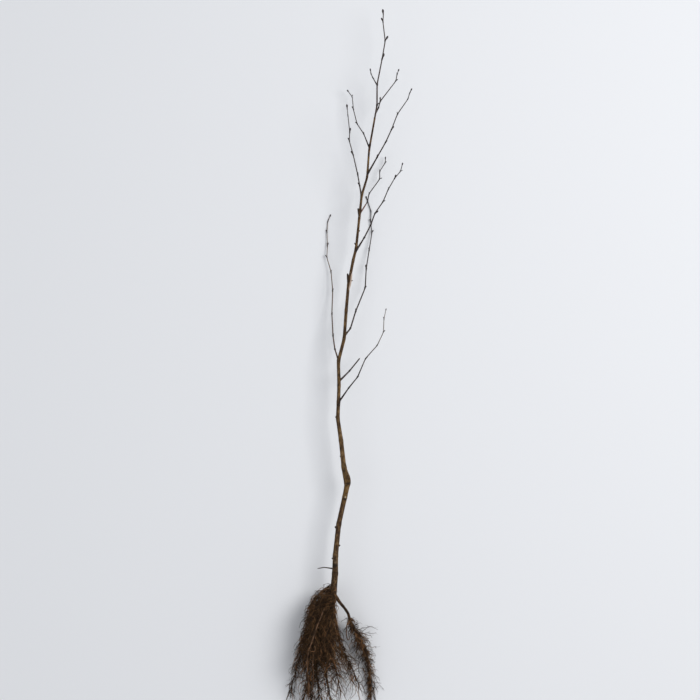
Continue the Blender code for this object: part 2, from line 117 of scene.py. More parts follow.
def bent(points, shares):
    """The points with a short bend in place of each corner, and a point at each of those shares of it."""
    found = [points[0]]
    for before, corner, after in zip(points, points[1:], points[2:]):
        start = corner.lerp(before, CORNER_SHARE)
        end = corner.lerp(after, CORNER_SHARE)
        found += [start.lerp(corner, share).lerp(corner.lerp(end, share), share) for share in shares]
    return [*found, points[-1]]


class Route:
    """The middle line of a limb, with its radius at each point."""

    def __init__(self, points, radii):
        self.points = points
        self.radii = radii
        self.marks = reached(points)
        self.length = self.marks[-1]

    def at(self, length):
        """The point and the radius at that length along the route, and the way it runs there."""
        i = next((i for i, mark in enumerate(self.marks[1:]) if length <= mark), len(self.marks) - 2)
        before, after = self.points[i:i + 2]
        share = (length - self.marks[i]) / (self.marks[i + 1] - self.marks[i])
        radius = self.radii[i] + (self.radii[i + 1] - self.radii[i]) * share
        return before.lerp(after, share), radius, (after - before).normalized()

    def rings(self, marks):
        """Arrays of the points, the radii and the ways at those lengths along the route."""
        return [np.array(row) for row in zip(*map(self.at, marks))]

    def part(self, start, end):
        """The route from one length along it to another."""
        inner = [i for i, mark in enumerate(self.marks) if start < mark < end]
        first, last = self.at(start), self.at(end)
        points = [first[0], *(self.points[i] for i in inner), last[0]]
        return Route(points, [first[1], *(self.radii[i] for i in inner), last[1]])

    def nearest(self, point):
        """How far the point is from the route, and the length along it of the place nearest to it."""
        found = (math.inf, 0.0)
        for mark, before, after in zip(self.marks, self.points, self.points[1:]):
            share = min(max(intersect_point_line(point, before, after)[1], 0.0), 1.0)
            gap = (before.lerp(after, share) - point).length
            found = min(found, (gap, mark + (after - before).length * share))
        return found

    def at_height(self, height):
        """The point of the stem's route at a height above the collar."""
        y = COLLAR.y + height
        before, after = next(pair for pair in zip(self.points, self.points[1:]) if y <= pair[1].y)
        return before.lerp(after, (y - before.y) / (after.y - before.y))


def stem_corners():
    """The stem's corners: it rises slowly to the tip, and sags a little in the middle."""
    corners = walk(COLLAR + STEM_FOOT, ROOT_CROWN + FIRST_YEAR + SECOND_YEAR + LEADER)
    for corner in corners:
        share = max((corner.y - COLLAR.y) / STEM_HEIGHT, 0.0)
        corner.z += TIP_RISE * share - STEM_SAG * math.sin(math.pi * share)
    return corners


def stem_line(shares):
    """The stem's route, with a point at each of those shares of its bends."""
    points = bent(stem_corners(), shares)
    heights = [point.y - COLLAR.y for point in points]
    return Route(points, list(np.interp(heights, *zip(*STEM_DIAMETERS)) / 2))


def finished(bm):
    """The bmesh as a mesh."""
    mesh = bpy.data.meshes.new("shape")
    bm.to_mesh(mesh)
    bm.free()
    return mesh


def places_of(mesh):
    """The places of a mesh's vertices, one a row."""
    places = np.empty(len(mesh.vertices) * 3, np.float32)
    mesh.vertices.foreach_get("co", places)
    return places.reshape(-1, 3)


def straight_tube(rings, sides):
    """A closed tube of radius 1 that stands on the origin, with a ring at each height 0, 1, 2 and so on."""
    bm = bmesh.new()
    bmesh.ops.create_circle(bm, segments=sides, radius=1.0)
    rim = [*bm.verts, *bm.edges]
    bmesh.ops.spin(bm, geom=rim, axis=(0, 0, 1), dvec=(0, 0, 1), angle=0.0, steps=rings - 1)
    bmesh.ops.holes_fill(bm, edges=bm.edges, sides=sides)
    bmesh.ops.recalc_face_normals(bm, faces=bm.faces)
    return finished(bm)


def bent_tubes(points, radii, sides, start=0.0):
    """Straight tubes bent along rows of points, all in one mesh.

    Each row of points holds the middles of one tube's rings, and its row of radii their sizes. A vertex
    keeps in the attribute "grown" the place it would have if its tube were straight and upright on start.
    """
    points, radii = np.asarray(points, float), np.asarray(radii, float)
    tubes, rings = radii.shape
    ways = np.gradient(points, axis=1)
    ways /= np.linalg.norm(ways, axis=2, keepdims=True)
    steep = np.abs(ways[:, :1, 2:]) > 0.9
    side = np.cross(ways[:, 0], np.where(steep, (1.0, 0.0, 0.0), (0.0, 0.0, 1.0))[:, 0])
    across = np.empty_like(points)
    for ring in range(rings):
        side = side - ways[:, ring] * (side * ways[:, ring]).sum(1, keepdims=True)
        side /= np.linalg.norm(side, axis=1, keepdims=True)
        across[:, ring] = side
    upward = np.cross(ways, across)
    steps = np.linalg.norm(np.diff(points, axis=1), axis=2)
    marks = np.concatenate([np.zeros((tubes, 1)), steps.cumsum(1)], axis=1) + start

    tube = straight_tube(rings, sides)
    bm = bmesh.new()
    for _ in range(tubes):
        bm.from_mesh(tube)
    mesh = finished(bm)
    unit = places_of(mesh).reshape(tubes, -1, 3)
    ring = unit[:, :, 2].round().astype(int)
    row = np.arange(tubes)[:, None]
    size = radii[row, ring][:, :, None]
    out = unit[:, :, :1] * across[row, ring] + unit[:, :, 1:2] * upward[row, ring]
    mesh.vertices.foreach_set("co", (points[row, ring] + out * size).astype(np.float32).ravel())
    grown = np.concatenate([unit[:, :, :2] * size, marks[row, ring][:, :, None]], axis=2)
    attribute = mesh.attributes.new("grown", "FLOAT_VECTOR", "POINT")
    attribute.data.foreach_set("vector", grown.astype(np.float32).ravel())
    mesh.shade_smooth()
    bpy.data.meshes.remove(tube)
    return mesh


def swollen(radii, marks, nodes, swelling, length):
    """The radii of a limb's rings at those marks, swollen at its nodes."""
    for node in nodes:
        radii = radii * (1 + swelling * np.exp(-((marks - node) / length) ** 2))
    return radii


def grown_places(mesh):
    """The place that each vertex would have if its limb were straight and upright."""
    return [row.vector for row in mesh.attributes["grown"].data]


def raise_bark(mesh, height_at):
    """Moves each vertex out by the height that the rule gives for its place and its grown place."""
    moved = [v.co + v.normal * height_at(v.co, place) for v, place in zip(mesh.vertices, grown_places(mesh))]
    for vertex, place in zip(mesh.vertices, moved):
        vertex.co = place


def folds(grown, across, along):
    """Noise on a limb's bark, with one scale across the limb and another along it."""
    return noise.noise(Vector((grown.x * across, grown.y * across, grown.z * along)))


def keep_numbers(mesh, name, numbers):
    """Stores one number for each vertex, for the bark's nodes to read."""
    attribute = mesh.attributes.new(name, "FLOAT", "POINT")
    attribute.data.foreach_set("value", np.asarray(numbers, np.float32))


def in_scene(name, data):
    """A new object in the scene, with that mesh, lamp or lens, which takes its name."""
    data.name = name
    obj = bpy.data.objects.new(name, data)
    bpy.context.scene.collection.objects.link(obj)
    return obj


def piece(name, mesh, bark, slot, *nodes):
    """Puts a finished mesh in the scene, in its bark, in place of those solids and within their box."""
    mesh.vertices.foreach_set("co", np.clip(places_of(mesh), *cad_box).ravel())
    mesh.materials.append(bark)
    obj = in_scene(name, mesh)
    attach(obj, "root")
    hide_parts(*nodes)


class Tone:
    """A value in a bark's nodes. A sum on it adds the nodes for that sum."""

    def __init__(self, bark, socket):
        self.bark = bark
        self.socket = socket

    def maths(self, operation, *values):
        return self.bark.node("ShaderNodeMath", {"operation": operation}, values)

    def __add__(self, other):
        return self.maths("ADD", self, other)

    def __sub__(self, other):
        return self.maths("SUBTRACT", self, other)

    def __rsub__(self, other):
        return self.maths("SUBTRACT", other, self)

    def __mul__(self, other):
        return self.maths("MULTIPLY", self, other)

    __radd__ = __add__
    __rmul__ = __mul__


class Bark:
    """A bark's material and its nodes."""

    def __init__(self, name, gloss=0.25, wax=0.0):
        self.material = bpy.data.materials.new(name)
        self.material.use_nodes = True
        self.tree = self.material.node_tree
        self.shader = self.tree.nodes["Principled BSDF"]
        self.shader.inputs["Metallic"].default_value = 0.0
        self.shader.inputs["Specular IOR Level"].default_value = gloss
        self.shader.inputs["Coat Weight"].default_value = wax
        self.shader.inputs["Coat Roughness"].default_value = 0.35
        self.grown = self.stored("grown", 1)
        self.place = self.node("ShaderNodeTexCoord", output=3)

    def node(self, kind, settings=None, values=(), output=0):
        """Adds a node: first its settings, then what its sockets hold, by their place or name."""
        node = self.tree.nodes.new(kind)
        for name, setting in (settings or {}).items():
            setattr(node, name, setting)
        for socket, value in values.items() if isinstance(values, dict) else enumerate(values):
            if isinstance(value, Tone):
                self.tree.links.new(value.socket, node.inputs[socket])
            else:
                node.inputs[socket].default_value = value
        return Tone(self, node.outputs[output])

    def stored(self, name, output=2):
        """What the mesh keeps under that name: output 2 is a number, and 1 a vector."""
        return self.node("ShaderNodeAttribute", {"attribute_name": name}, output=output)

    def stretched(self, along):
        """The grown place with its length along the limb scaled."""
        return self.node("ShaderNodeMapping", None, {0: self.grown, 3: (1.0, 1.0, along)})

    def clouds(self, scale, detail=3.0, roughness=0.55, along=None):
        """Soft noise between 0 and 1, the same all ways, or stretched along the limb."""
        vector = self.place if along is None else self.stretched(along)
        values = {"Vector": vector, "Scale": scale, "Detail": detail, "Roughness": roughness}
        return self.node("ShaderNodeTexNoise", None, values)

    def step(self, value, low, high):
        """0 where the value is under low, 1 where it is over high, and a smooth rise between."""
        settings = {"interpolation_type": "SMOOTHSTEP"}
        return self.node("ShaderNodeMapRange", settings, {0: value, 1: low, 2: high})

    def dots(self, along, scale, size, share):
        """Dots of that size on a stretched limb, in some cells; share of the cells bear one."""
        settings = {"feature": "F1"}
        cells = {"Vector": self.stretched(along), "Scale": scale}
        distance = self.node("ShaderNodeTexVoronoi", settings, cells)
        lot = self.node("ShaderNodeTexVoronoi", settings, cells, output=1)
        chosen = self.step(self.node("ShaderNodeSeparateColor", None, (lot,)), 1 - share, 1.02 - share)
        return (1 - self.step(distance, size * 0.55, size)) * chosen

    def layers(self, colour, *layers):
        """The colour with others laid over it in turn. Each layer is the share it covers and its colour."""
        for share, over in layers:
            values = {0: share, 6: shade(colour), 7: shade(over)}
            colour = self.node("ShaderNodeMix", {"data_type": "RGBA"}, values, 2)
        return colour

    def finish(self, colour, roughness, height, depth):
        """Joins the colour, the roughness and the relief to the shader."""
        bumped = self.node("ShaderNodeBump", None, {"Strength": 1.0, "Distance": depth, "Height": height})
        for name, value in (("Base Color", colour), ("Roughness", roughness), ("Normal", bumped)):
            self.tree.links.new(value.socket, self.shader.inputs[name])
        return self.material


def shade(colour):
    """A colour as the shader takes it, from the red, green and blue numbers that a screen shows it with."""
    if isinstance(colour, Tone):
        return colour
    screen = np.array(colour) / 255
    linear = np.where(screen > 0.04045, ((screen + 0.055) / 1.055) ** 2.4, screen / 12.92)
    return (*linear.tolist(), 1.0)


def stem_bark():
    """Olive-brown young bark: long faint streaks, pale pores, dark knots, soil stain at the foot, painted
    shadows under the scar and the knuckle, and painted shade on the stem's left side.
    """
    bark = Bark("stem_bark", 0.14)
    streaks = bark.clouds(420.0, 5.0, 0.6, along=0.12)
    fine = bark.clouds(1500.0, 4.0, 0.65, along=0.12)
    wrinkles = bark.clouds(850.0, 4.0, 0.65, along=1.7)
    mottle = bark.clouds(190.0, 4.0, 0.6, along=0.45)
    patches = bark.clouds(34.0)
    crumbs = bark.clouds(330.0, 3.0, 0.6)
    pores = bark.dots(0.55, 330.0, 0.3, 0.24)
    y = bark.node("ShaderNodeSeparateXYZ", None, (bark.place,), output=1)
    ragged = y + (patches - 0.5) * 0.05
    golden = (1 - bark.step(ragged, -0.235, -0.215)) * bark.step(ragged, -0.285, -0.265)
    above_soil = bark.step(ragged, -0.4, -0.25)
    colour = bark.layers(
        (84, 62, 37),
        (bark.step(patches, 0.35, 0.68), (98, 74, 42)),
        (bark.step(ragged, 0.06, 0.16) * 0.65, (80, 58, 38)),
        (bark.step(ragged, 0.36, 0.56), (74, 52, 40)),
        (1 - bark.step(ragged, -0.3, -0.27), (80, 57, 35)),
        (golden * 0.8, (102, 75, 35)),
        (1 - bark.step(ragged, -0.415, -0.375), (62, 42, 20)),
        (bark.step(mottle, 0.5, 0.62) * 0.8, (40, 28, 19)),
        (1 - bark.step(mottle, 0.38, 0.48), (120, 94, 60)),
        (bark.step(streaks, 0.42, 0.72) * 0.6, (50, 36, 25)),
        (bark.step(fine, 0.56, 0.82) * 0.4, (110, 88, 60)),
        (bark.step(crumbs, 0.52, 0.62) * (1 - above_soil) * 0.7, (32, 20, 12)),
        ((1 - bark.step(crumbs, 0.36, 0.46)) * (1 - above_soil) * 0.6, (104, 80, 52)),
        (pores * above_soil * 0.7, (140, 120, 92)),
        # Dark knots and stains, with painted shadows in creases and painted shade on the stem's left side.
        (bark.stored("knot_and_shade") * 0.9, (28, 20, 15)),
        (bark.stored("scar"), (188, 172, 146)),
    )
    relief = streaks * 0.5 + fine * 0.3 + wrinkles * 0.35 + pores * 0.6
    return bark.finish(colour, 0.5 + wrinkles * 0.25, relief, 0.0011)


# Small knots on the stem: height, place across it from -1 on the left to 1, size, how far it stands out, and
# its stain, from 1 for dark to -1 for pale; on some rows the dark is painted shade. First comes the round
# scar of a rubbed-off bud with the creases below it, whose dark is a painted shadow, then two marks of
# painted shade on the stem's left side, then the swelling and creases of the knuckle, the dark in the creases
# under it a painted shadow, and last some bud stubs and soil marks.
KNOTS_AND_SHADE = (
    # Painted shadow: the dark of the three creases just below the scar. Painted shade: the two marks at 0.177
    # and 0.17 on the left, which darken the stem's left side.
    (0.1866, 0.26, 0.0017, 0.0006, -1.0), (0.1822, 0.05, 0.0023, -0.0005, 1.0),
    (0.1822, 0.4, 0.0025, -0.0006, 1.0), (0.1818, 0.72, 0.002, -0.0004, 1.0),
    (0.177, -0.75, 0.0044, 0.0, 0.6), (0.17, -0.8, 0.0044, 0.0, 0.5),
    (0.2265, 0.94, 0.0085, 0.0019, 0.0), (0.235, 0.88, 0.009, 0.0012, 0.0),
    (0.2448, 0.05, 0.0016, 0.0004, 1.0), (0.2375, 0.2, 0.0012, 0.0003, 0.8),
    (0.2335, 0.55, 0.0016, 0.0005, 1.0), (0.2265, -0.65, 0.0015, 0.0003, 0.9),
    # Painted shadow: the dark of the five creases under the knuckle, from 0.2172 to 0.2178.
    (0.2172, -0.55, 0.002, -0.0003, 0.6), (0.2164, -0.1, 0.0024, -0.0004, 0.8),
    (0.216, 0.35, 0.0026, -0.0006, 1.0), (0.2166, 0.75, 0.0028, -0.0006, 1.0),
    (0.2178, 0.97, 0.0026, -0.0004, 1.0), (0.125, 0.6, 0.0014, 0.0003, 0.7),
    (0.0445, 0.2, 0.0034, 0.0003, -0.15), (0.0375, -0.6, 0.0036, 0.0002, 1.0),
    (0.0365, 0.0, 0.003, -0.0003, 0.8), (0.0378, 0.55, 0.0034, -0.0004, 1.0),
    (0.309, -0.6, 0.0012, 0.0003, 0.6), (0.39, 0.1, 0.0032, 0.0003, 0.7),
    (0.59, 0.5, 0.0011, 0.0002, 0.6), (0.985, -0.2, 0.0016, 0.0005, 1.0),
)
# The height of each side shoot's fork and its side, 1 for the right. A dark knot of that size, rise and stain
# lies above each.
FORKS = (
    (0.393, 1), (0.439, 1), (0.483, -1), (0.538, 1), (0.721, 1), (0.805, 1), (0.842, -1), (0.891, 1),
    (0.948, -1),
)
ABOVE_FORK = 0.006
FORK_KNOT = (0.0048, 0.0007, 0.75)
KNOT_REACH = 0.02
STEM_SIDES = 40
STEM_RING_GAP = 0.0012
NODE_SWELLING = 0.1
NODE_LENGTH = 0.005
ROUND_FOOT = (0.35, 0.62, 0.8, 0.9, 0.96, 0.99)
STEM_FOLDS = (210, 14)
FOLD_DEPTH = 0.00012
FLUTE_DEPTH = 0.00055
FLUTE_START = -0.01
FLUTE_FADE = 0.035
BUMP_SCALE = 420
BUMP_DEPTH = 0.00007

stem = stem_line(CUT_OFF)
fair_stem = stem_line(ROUNDED)
trunk = fair_stem.part(0.0, fair_stem.nearest(fair_stem.at_height(LEADER_START))[1])


def on_bark(height, across):
    """The place on the stem's upper side at that height, from its left edge at -1 to its right at 1."""
    point, radius, _ = trunk.at(trunk.nearest(stem.at_height(height))[1])
    return point + Vector((across, 0.0, math.sqrt(1 - across ** 2))) * radius


knots_and_shade = [(on_bark(height + ABOVE_FORK, side), *FORK_KNOT) for height, side in FORKS]
knots_and_shade += [(on_bark(height, across), *knot_and_shade) for height, across, *knot_and_shade in KNOTS_AND_SHADE]


def knots_and_shade_near(place):
    """The rise and the stain of each knot near a place, some of it painted shade, and how strongly it tells
    there.
    """
    return [
        (rise, stain_and_shade, math.exp(-(place - centre).length_squared / size ** 2))
        for centre, size, rise, stain_and_shade in knots_and_shade if abs(place.y - centre.y) < KNOT_REACH
    ]


def stem_relief(place, grown):
    """Long folds that deepen to flutes at the root crown, small unevenness, and what the knots raise."""
    fade = math.exp(-max(place.y - COLLAR.y - FLUTE_START, 0.0) / FLUTE_FADE)
    raised = sum(rise * strength for rise, _, strength in knots_and_shade_near(place))
    bumps = noise.fractal(grown * BUMP_SCALE, 0.8, 2.0, 3) * BUMP_DEPTH
    return folds(grown, *STEM_FOLDS) * (FOLD_DEPTH + FLUTE_DEPTH * fade) + bumps + raised


def stain_and_shade_at(place, side):
    """How much dark stain and painted shade (side 1), and how much pale stain (side -1), the knots put on a
    place.
    """
    return min(sum(max(stain_and_shade * side, 0.0) * strength for _, stain_and_shade, strength in knots_and_shade_near(place)), 1.0)


stem_marks = np.linspace(0.0, trunk.length, round(trunk.length / STEM_RING_GAP) + 1)
stem_points, stem_radii, _ = trunk.rings(stem_marks)
stem_nodes = [trunk.nearest(corner)[1] for corner in stem_corners()[2:-len(LEADER)]]
stem_radii = swollen(stem_radii, stem_marks, stem_nodes, NODE_SWELLING, NODE_LENGTH)
stem_radii[:len(ROUND_FOOT)] *= ROUND_FOOT
stem_mesh = bent_tubes([stem_points], [stem_radii], STEM_SIDES)
# The dark stored here holds the knots' stains together with painted shadows and painted shade.
keep_numbers(stem_mesh, "knot_and_shade", [stain_and_shade_at(v.co, 1) for v in stem_mesh.vertices])
keep_numbers(stem_mesh, "scar", [stain_and_shade_at(v.co, -1) for v in stem_mesh.vertices])
raise_bark(stem_mesh, stem_relief)
piece("alder_stem", stem_mesh, stem_bark(), "stem_bark", "stem")


# The spurs and the healed cut
# Short dead stubs where side shoots or buds broke off, and the thick stub of the first leader, which was
# cut some 20 cm above the roots and has healed over. They are wood under dark bark.

# height is where it leaves the stem, slant is its angle to the stem's way, and bow is how far its middle
# stands out from a straight line.
Spur = namedtuple("Spur", "height side reach diameter slant bow", defaults=(0.0,))
SPURS = (
    Spur(0.049, -1, 0.009, 0.0036, 60),
    Spur(0.077, 1, 0.0098, 0.0042, 60),
    Spur(0.1155, -1, 0.01, 0.005, 45),
    Spur(0.2185, 1, 0.0066, 0.0126, 54),
    Spur(0.271, -1, 0.0088, 0.0036, 50),
    Spur(0.357, -1, 0.008, 0.004, 45),
    Spur(0.634, 1, 0.052, 0.0036, 9, 0.0029),
    Spur(0.648, -1, 0.0275, 0.0048, 4),
    Spur(0.657, 1, 0.0086, 0.003, 68),
    Spur(0.736, -1, 0.0074, 0.003, 35),
    Spur(0.764, 1, 0.0072, 0.0028, 40),
    Spur(0.8, -1, 0.018, 0.0048, 10),
)
# The spur at this height is a ridge along the stem painted pale with crack streaks: a painted highlight for
# the stem's lit right side.
LIT_RIDGE_SPUR = 0.634
BOW_RISE = 0.8
SPUR_SIDES = 14
SPUR_CRACKS = 900
SPUR_RELIEF = 0.00025
# Shares of a spur's length, and its thickness at each as a share of its diameter.
SPUR_SHAPE = (
    (0.0, 1.15), (0.12, 1.12), (0.25, 1.08), (0.35, 1.05), (0.45, 1.02), (0.6, 0.99), (0.72, 0.96),
    (0.82, 0.9), (0.9, 0.8), (0.95, 0.65), (0.985, 0.4), (1.0, 0.1),
)


def spur_bark():
    """Dead bark, dark and cracked, and on the one ridge a pale painted highlight with crack streaks."""
    bark = Bark("spur_bark")
    cracks = bark.clouds(900.0, 5.0, 0.7, along=0.4)
    # Painted highlight: the pale colour, streaked by the cracks, that the ridge gets for the stem's lit right
    # side.
    highlight = bark.layers((200, 180, 164), (bark.step(cracks, 0.46, 0.7), (150, 126, 110)))
    colour = bark.layers(
        (38, 27, 20),
        (bark.step(bark.clouds(260.0), 0.35, 0.7), (66, 50, 36)),
        (bark.step(cracks, 0.48, 0.7) * 0.7, (24, 17, 13)),
        (bark.stored("lit_ridge") * 0.9, highlight),
    )
    return bark.finish(colour, 0.62 + cracks * 0.3, cracks, 0.0006)


spur_points, spur_radii = [], []
for spur in SPURS:
    foot = stem.at_height(spur.height)
    slant = math.radians(spur.slant * spur.side)
    out = Vector((math.sin(slant), math.cos(slant), 0.0)) * spur.reach
    bow = Vector((spur.side * spur.bow, 0.0, spur.bow * BOW_RISE))
    spur_points.append([foot + out * share + bow * math.sin(math.pi * share) for share, _ in SPUR_SHAPE])
    spur_radii.append([spur.diameter / 2 * width for _, width in SPUR_SHAPE])
spur_mesh = bent_tubes(spur_points, spur_radii, SPUR_SIDES)
# 1 on the ridge that carries the painted highlight, 0 on the other spurs.
lit_ridge = [spur.height == LIT_RIDGE_SPUR for spur in SPURS]
keep_numbers(spur_mesh, "lit_ridge", np.repeat(lit_ridge, len(spur_mesh.vertices) // len(SPURS)))
raise_bark(spur_mesh, lambda place, grown: noise.noise(place * SPUR_CRACKS) * SPUR_RELIEF)
piece("stem_spurs", spur_mesh, spur_bark(), "stem_bark", "stem")


# The side shoots
# Last year's shoots: slender, turned a little at each node, with smooth reddish bark and pale pores.
# Each grew from a bud on the stem and sits in a swollen collar. One was broken off short.

# fork is the height at which a shoot leaves the stem, rise how far its tip ends above its foot, and base and
# tip are its diameters. A stretch is a length and a bearing, then the lean and the size of the bud at its
# end: 0 is straight ahead, less than 0 is to the left, and size 0 is no bud.
Shoot = namedtuple("Shoot", "name fork rise base tip stretches")
ON_THE_GROUND = None
SHOOTS = (
    Shoot("lowest_right", 0.393, 0.06, 0.0032, 0.0014,
          ((0.04, 35, 0, 0), (0.03, 39, 10, 0.4), (0.044, 23, 12, 0.65), (0.038, 42, -8, 0.4),
           (0.032, 25, 14, 0.55), (0.028, 2, -10, 0.5), (0.024, 12, 0, 0.65))),
    Shoot("broken_right", 0.439, -0.022, 0.0034, 0.0028,
          ((0.033, 45, 0, 0), (0.0355, 39, 0, 0))),
    Shoot("long_left", 0.483, ON_THE_GROUND, 0.0031, 0.0014,
          ((0.028, -18, 0, 0), (0.03, -8, 12, 0.5), (0.048, -3, 9, 0.4), (0.051, 2, 8, 0.5),
           (0.041, -5, 10, 0.5), (0.034, -16, -16, 0.6), (0.025, 3, 7, 0.75), (0.03, -2, -14, 0.6),
           (0.0235, 4, 8, 0.6), (0.0175, 23, 0, 0.8))),
    Shoot("long_right", 0.538, ON_THE_GROUND, 0.0034, 0.0017,
          ((0.022, 38, 0, 0), (0.039, 17, -12, 0.6), (0.056, 22, 12, 0.5), (0.042, 3, -6, 0.9),
           (0.041, 9, -11, 0.6), (0.039, 9, 16, 0.7), (0.025, -6, -12, 0.6), (0.023, 2, 0, 0),
           (0.022, -19, 6, 0.4), (0.013, -18, 0, 0.85))),
    Shoot("middle_right", 0.721, 0.045, 0.0035, 0.0017,
          ((0.038, 32, 0, 0), (0.03, 27, 8, 0.4), (0.027, 20, 26, 0.95), (0.031, 35, 20, 0.55),
           (0.029, 23, -8, 0.5), (0.027, 30, -6, 0.9), (0.02, 40, 18, 0.5), (0.02, 15, 0, 0.85))),
    Shoot("rear_right", 0.805, -0.05, 0.0026, 0.0018,
          ((0.032, 32, 0, 0), (0.019, 11, -10, 0.4), (0.04, 36, 24, 0.6), (0.017, -1, -6, 0.5),
           (0.023, 33, 10, 0.4), (0.0135, 1, 0, 0.85))),
    Shoot("upper_left", 0.842, 0.034, 0.003, 0.0015,
          ((0.025, -10, -15, 0.75), (0.024, -10, 9, 0.5), (0.044, -13, -12, 0.95), (0.031, -16, -2, 0.75),
           (0.0185, 3, 3, 1), (0.036, -6, -8, 0.35), (0.026, -6, 0, 1.15))),
    Shoot("upper_right", 0.891, 0.052, 0.0034, 0.0017,
          ((0.042, 30, -9, 0.7), (0.038, 30, 9, 0.5), (0.03, 25, 6, 0.85), (0.035, 21, -24, 0.5),
           (0.04, 35, -12, 0.55), (0.013, 16, 10, 0.4), (0.012, 26, 0, 0.9))),
    Shoot("top_left", 0.948, -0.04, 0.0025, 0.0015,
          ((0.035, -21, 10, 0.5), (0.027, -33, -9, 0.6), (0.033, -14, -5, 0.75), (0.028, -5, 8, 0.5),
           (0.0195, -37, 0, 0.9))),
)
RISE_POWER = 1.8
FORK_SWELLING = 0.45
FORK_COLLAR = 0.006
SHOOT_SIDES = 14
SHOOT_RING_GAP = 0.002
CLOSEST_RINGS = 0.0003
NODE_RINGS = 6
TWIG_NODE_SWELLING = 0.42
TWIG_NODE_LENGTH = 0.0022
TWIG_NODE_STAIN = 0.0034
ROUND_TIP = 0.0006
BLUNT = 0.04
SHOOT_FOLDS = (500, 60)
SHOOT_RELIEF = 0.00007
BUD_LENGTH = 0.0105
BUD_DIAMETER = 0.0035


def lifted(points, rise):
    """The points bent up by rise at their end, most of it near their start."""
    lengths = reached(points)
    lift = [rise * (1 - (1 - length / lengths[-1]) ** RISE_POWER) for length in lengths]
    return [point + Vector((0.0, 0.0, up)) for point, up in zip(points, lift)]


def tapered(points, base, tip, swelling=0.0):
    """A route of even taper, with a swollen collar at its base."""
    marks = reached(points)
    even = [(base + (tip - base) * mark / marks[-1]) / 2 for mark in marks]
    return Route(points, [r * (1 + swelling * math.exp(-m / FORK_COLLAR)) for r, m in zip(even, marks)])


def shoot_line(shoot):
    """The nodes of a side shoot, from the stem's middle to its tip, and its route."""
    start = stem.at_height(shoot.fork)
    rise = BUD_DIAMETER / 2 - start.z if shoot.rise is ON_THE_GROUND else shoot.rise
    corners = lifted(walk(start, [stretch[:2] for stretch in shoot.stretches]), rise)
    return corners, tapered(bent(corners, ROUNDED), shoot.base, shoot.tip, FORK_SWELLING)


def ring_marks(length, nodes):
    """Lengths for the rings of a shoot: evenly spaced, and closer together beside each node."""
    marks = list(np.arange(0.0, length, SHOOT_RING_GAP))
    for node in nodes:
        marks.extend(node + i * TWIG_NODE_LENGTH / 3 for i in range(-NODE_RINGS, NODE_RINGS + 1))
    marks = sorted(mark for mark in marks if 0.0 <= mark < length - CLOSEST_RINGS)
    spread = [marks[0]]
    for mark in marks[1:]:
        if mark - spread[-1] > CLOSEST_RINGS:
            spread.append(mark)
    return np.array([*spread, length])


def shoot_mesh(route, corners, start=0.0):
    """A shoot's bark from a length along its route to its end, thicker at its nodes and round at its tip."""
    nodes = np.array([route.nearest(corner)[1] for corner in corners[1:-1]])
    part = route.part(start, route.length) if start else route
    marks = ring_marks(part.length, nodes - start)
    points, radii, _ = part.rings(marks)
    radii = swollen(radii, marks + start, nodes, TWIG_NODE_SWELLING, TWIG_NODE_LENGTH)
    radii = radii * np.sqrt(np.clip((part.length - marks) / ROUND_TIP, BLUNT, 1.0))
    mesh = bent_tubes([points], [radii], SHOOT_SIDES, start)
    to_node = [np.abs(nodes - grown.z).min() for grown in grown_places(mesh)]
    keep_numbers(mesh, "knot_and_shade", [math.exp(-(gap / TWIG_NODE_STAIN) ** 2) for gap in to_node])
    raise_bark(mesh, lambda place, grown: folds(grown, *SHOOT_FOLDS) * SHOOT_RELIEF)
    return mesh


def grow_shoot(shoot, bark, slot, in_bud, *solids):
    """Puts a side shoot in the scene. Its bark ends inside the bud at its tip, that far from the end."""
    corners, route = shoot_line(shoot)
    mesh = shoot_mesh(route.part(0.0, route.length - in_bud), corners)
    piece(shoot.name + "_shoot", mesh, bark, slot, *solids)


def shoot_bark(name, young, old, collar=(26, 18, 14), turns=(0.04, 0.2)):
    """Thin glossy bark: old near the stem, young towards the tip, dark at the collar and at each node."""
    bark = Bark(name, 0.35, 0.06)
    streaks = bark.clouds(900.0, 4.0, 0.6, along=0.15)
    pores = bark.dots(0.5, 560.0, 0.28, 0.22)
    mark = bark.node("ShaderNodeSeparateXYZ", None, (bark.grown,), output=2)
    colour = bark.layers(
        old,
        (bark.step(mark + (bark.clouds(60.0) - 0.5) * 0.06, *turns), young),
        (bark.step(streaks, 0.45, 0.75) * 0.5, (78, 60, 50)),
        (pores * 0.6, (128, 108, 90)),
        ((1 - bark.step(mark, 0.005, 0.014)) * 0.8, collar),
        (bark.stored("knot_and_shade") * 0.75, (24, 16, 14)),
    )
    return bark.finish(colour, 0.42 + streaks * 0.22, streaks * 0.5 + pores * 0.6, 0.00035)


bark_of_shoots = shoot_bark("shoot_bark", (45, 33, 30), (48, 34, 28))
bark_of_shoot = {
    "rear_right": shoot_bark("russet_bark", (48, 37, 33), (112, 74, 60), (104, 66, 48), (0.02, 0.04)),
    "lowest_right": shoot_bark("dry_bark", (112, 98, 88), (44, 32, 28), turns=(0.09, 0.22)),
    "long_left": shoot_bark("pale_bark", (104, 84, 68), (84, 62, 50)),
}
for shoot in SHOOTS:
    tip_bud = shoot.stretches[-1][3]
    bark = bark_of_shoot.get(shoot.name, bark_of_shoots)
    solids = [shoot.name + "_bough"] + ([shoot.name + "_twig"] if tip_bud else [])
    grow_shoot(shoot, bark, "shoot_bark", BUD_LENGTH * tip_bud / 2, *solids)


# The leader
# The top of the stem with two short side shoots. It is this year's growth, thinner and darker than the
# stem below, and carries on from it with no step.

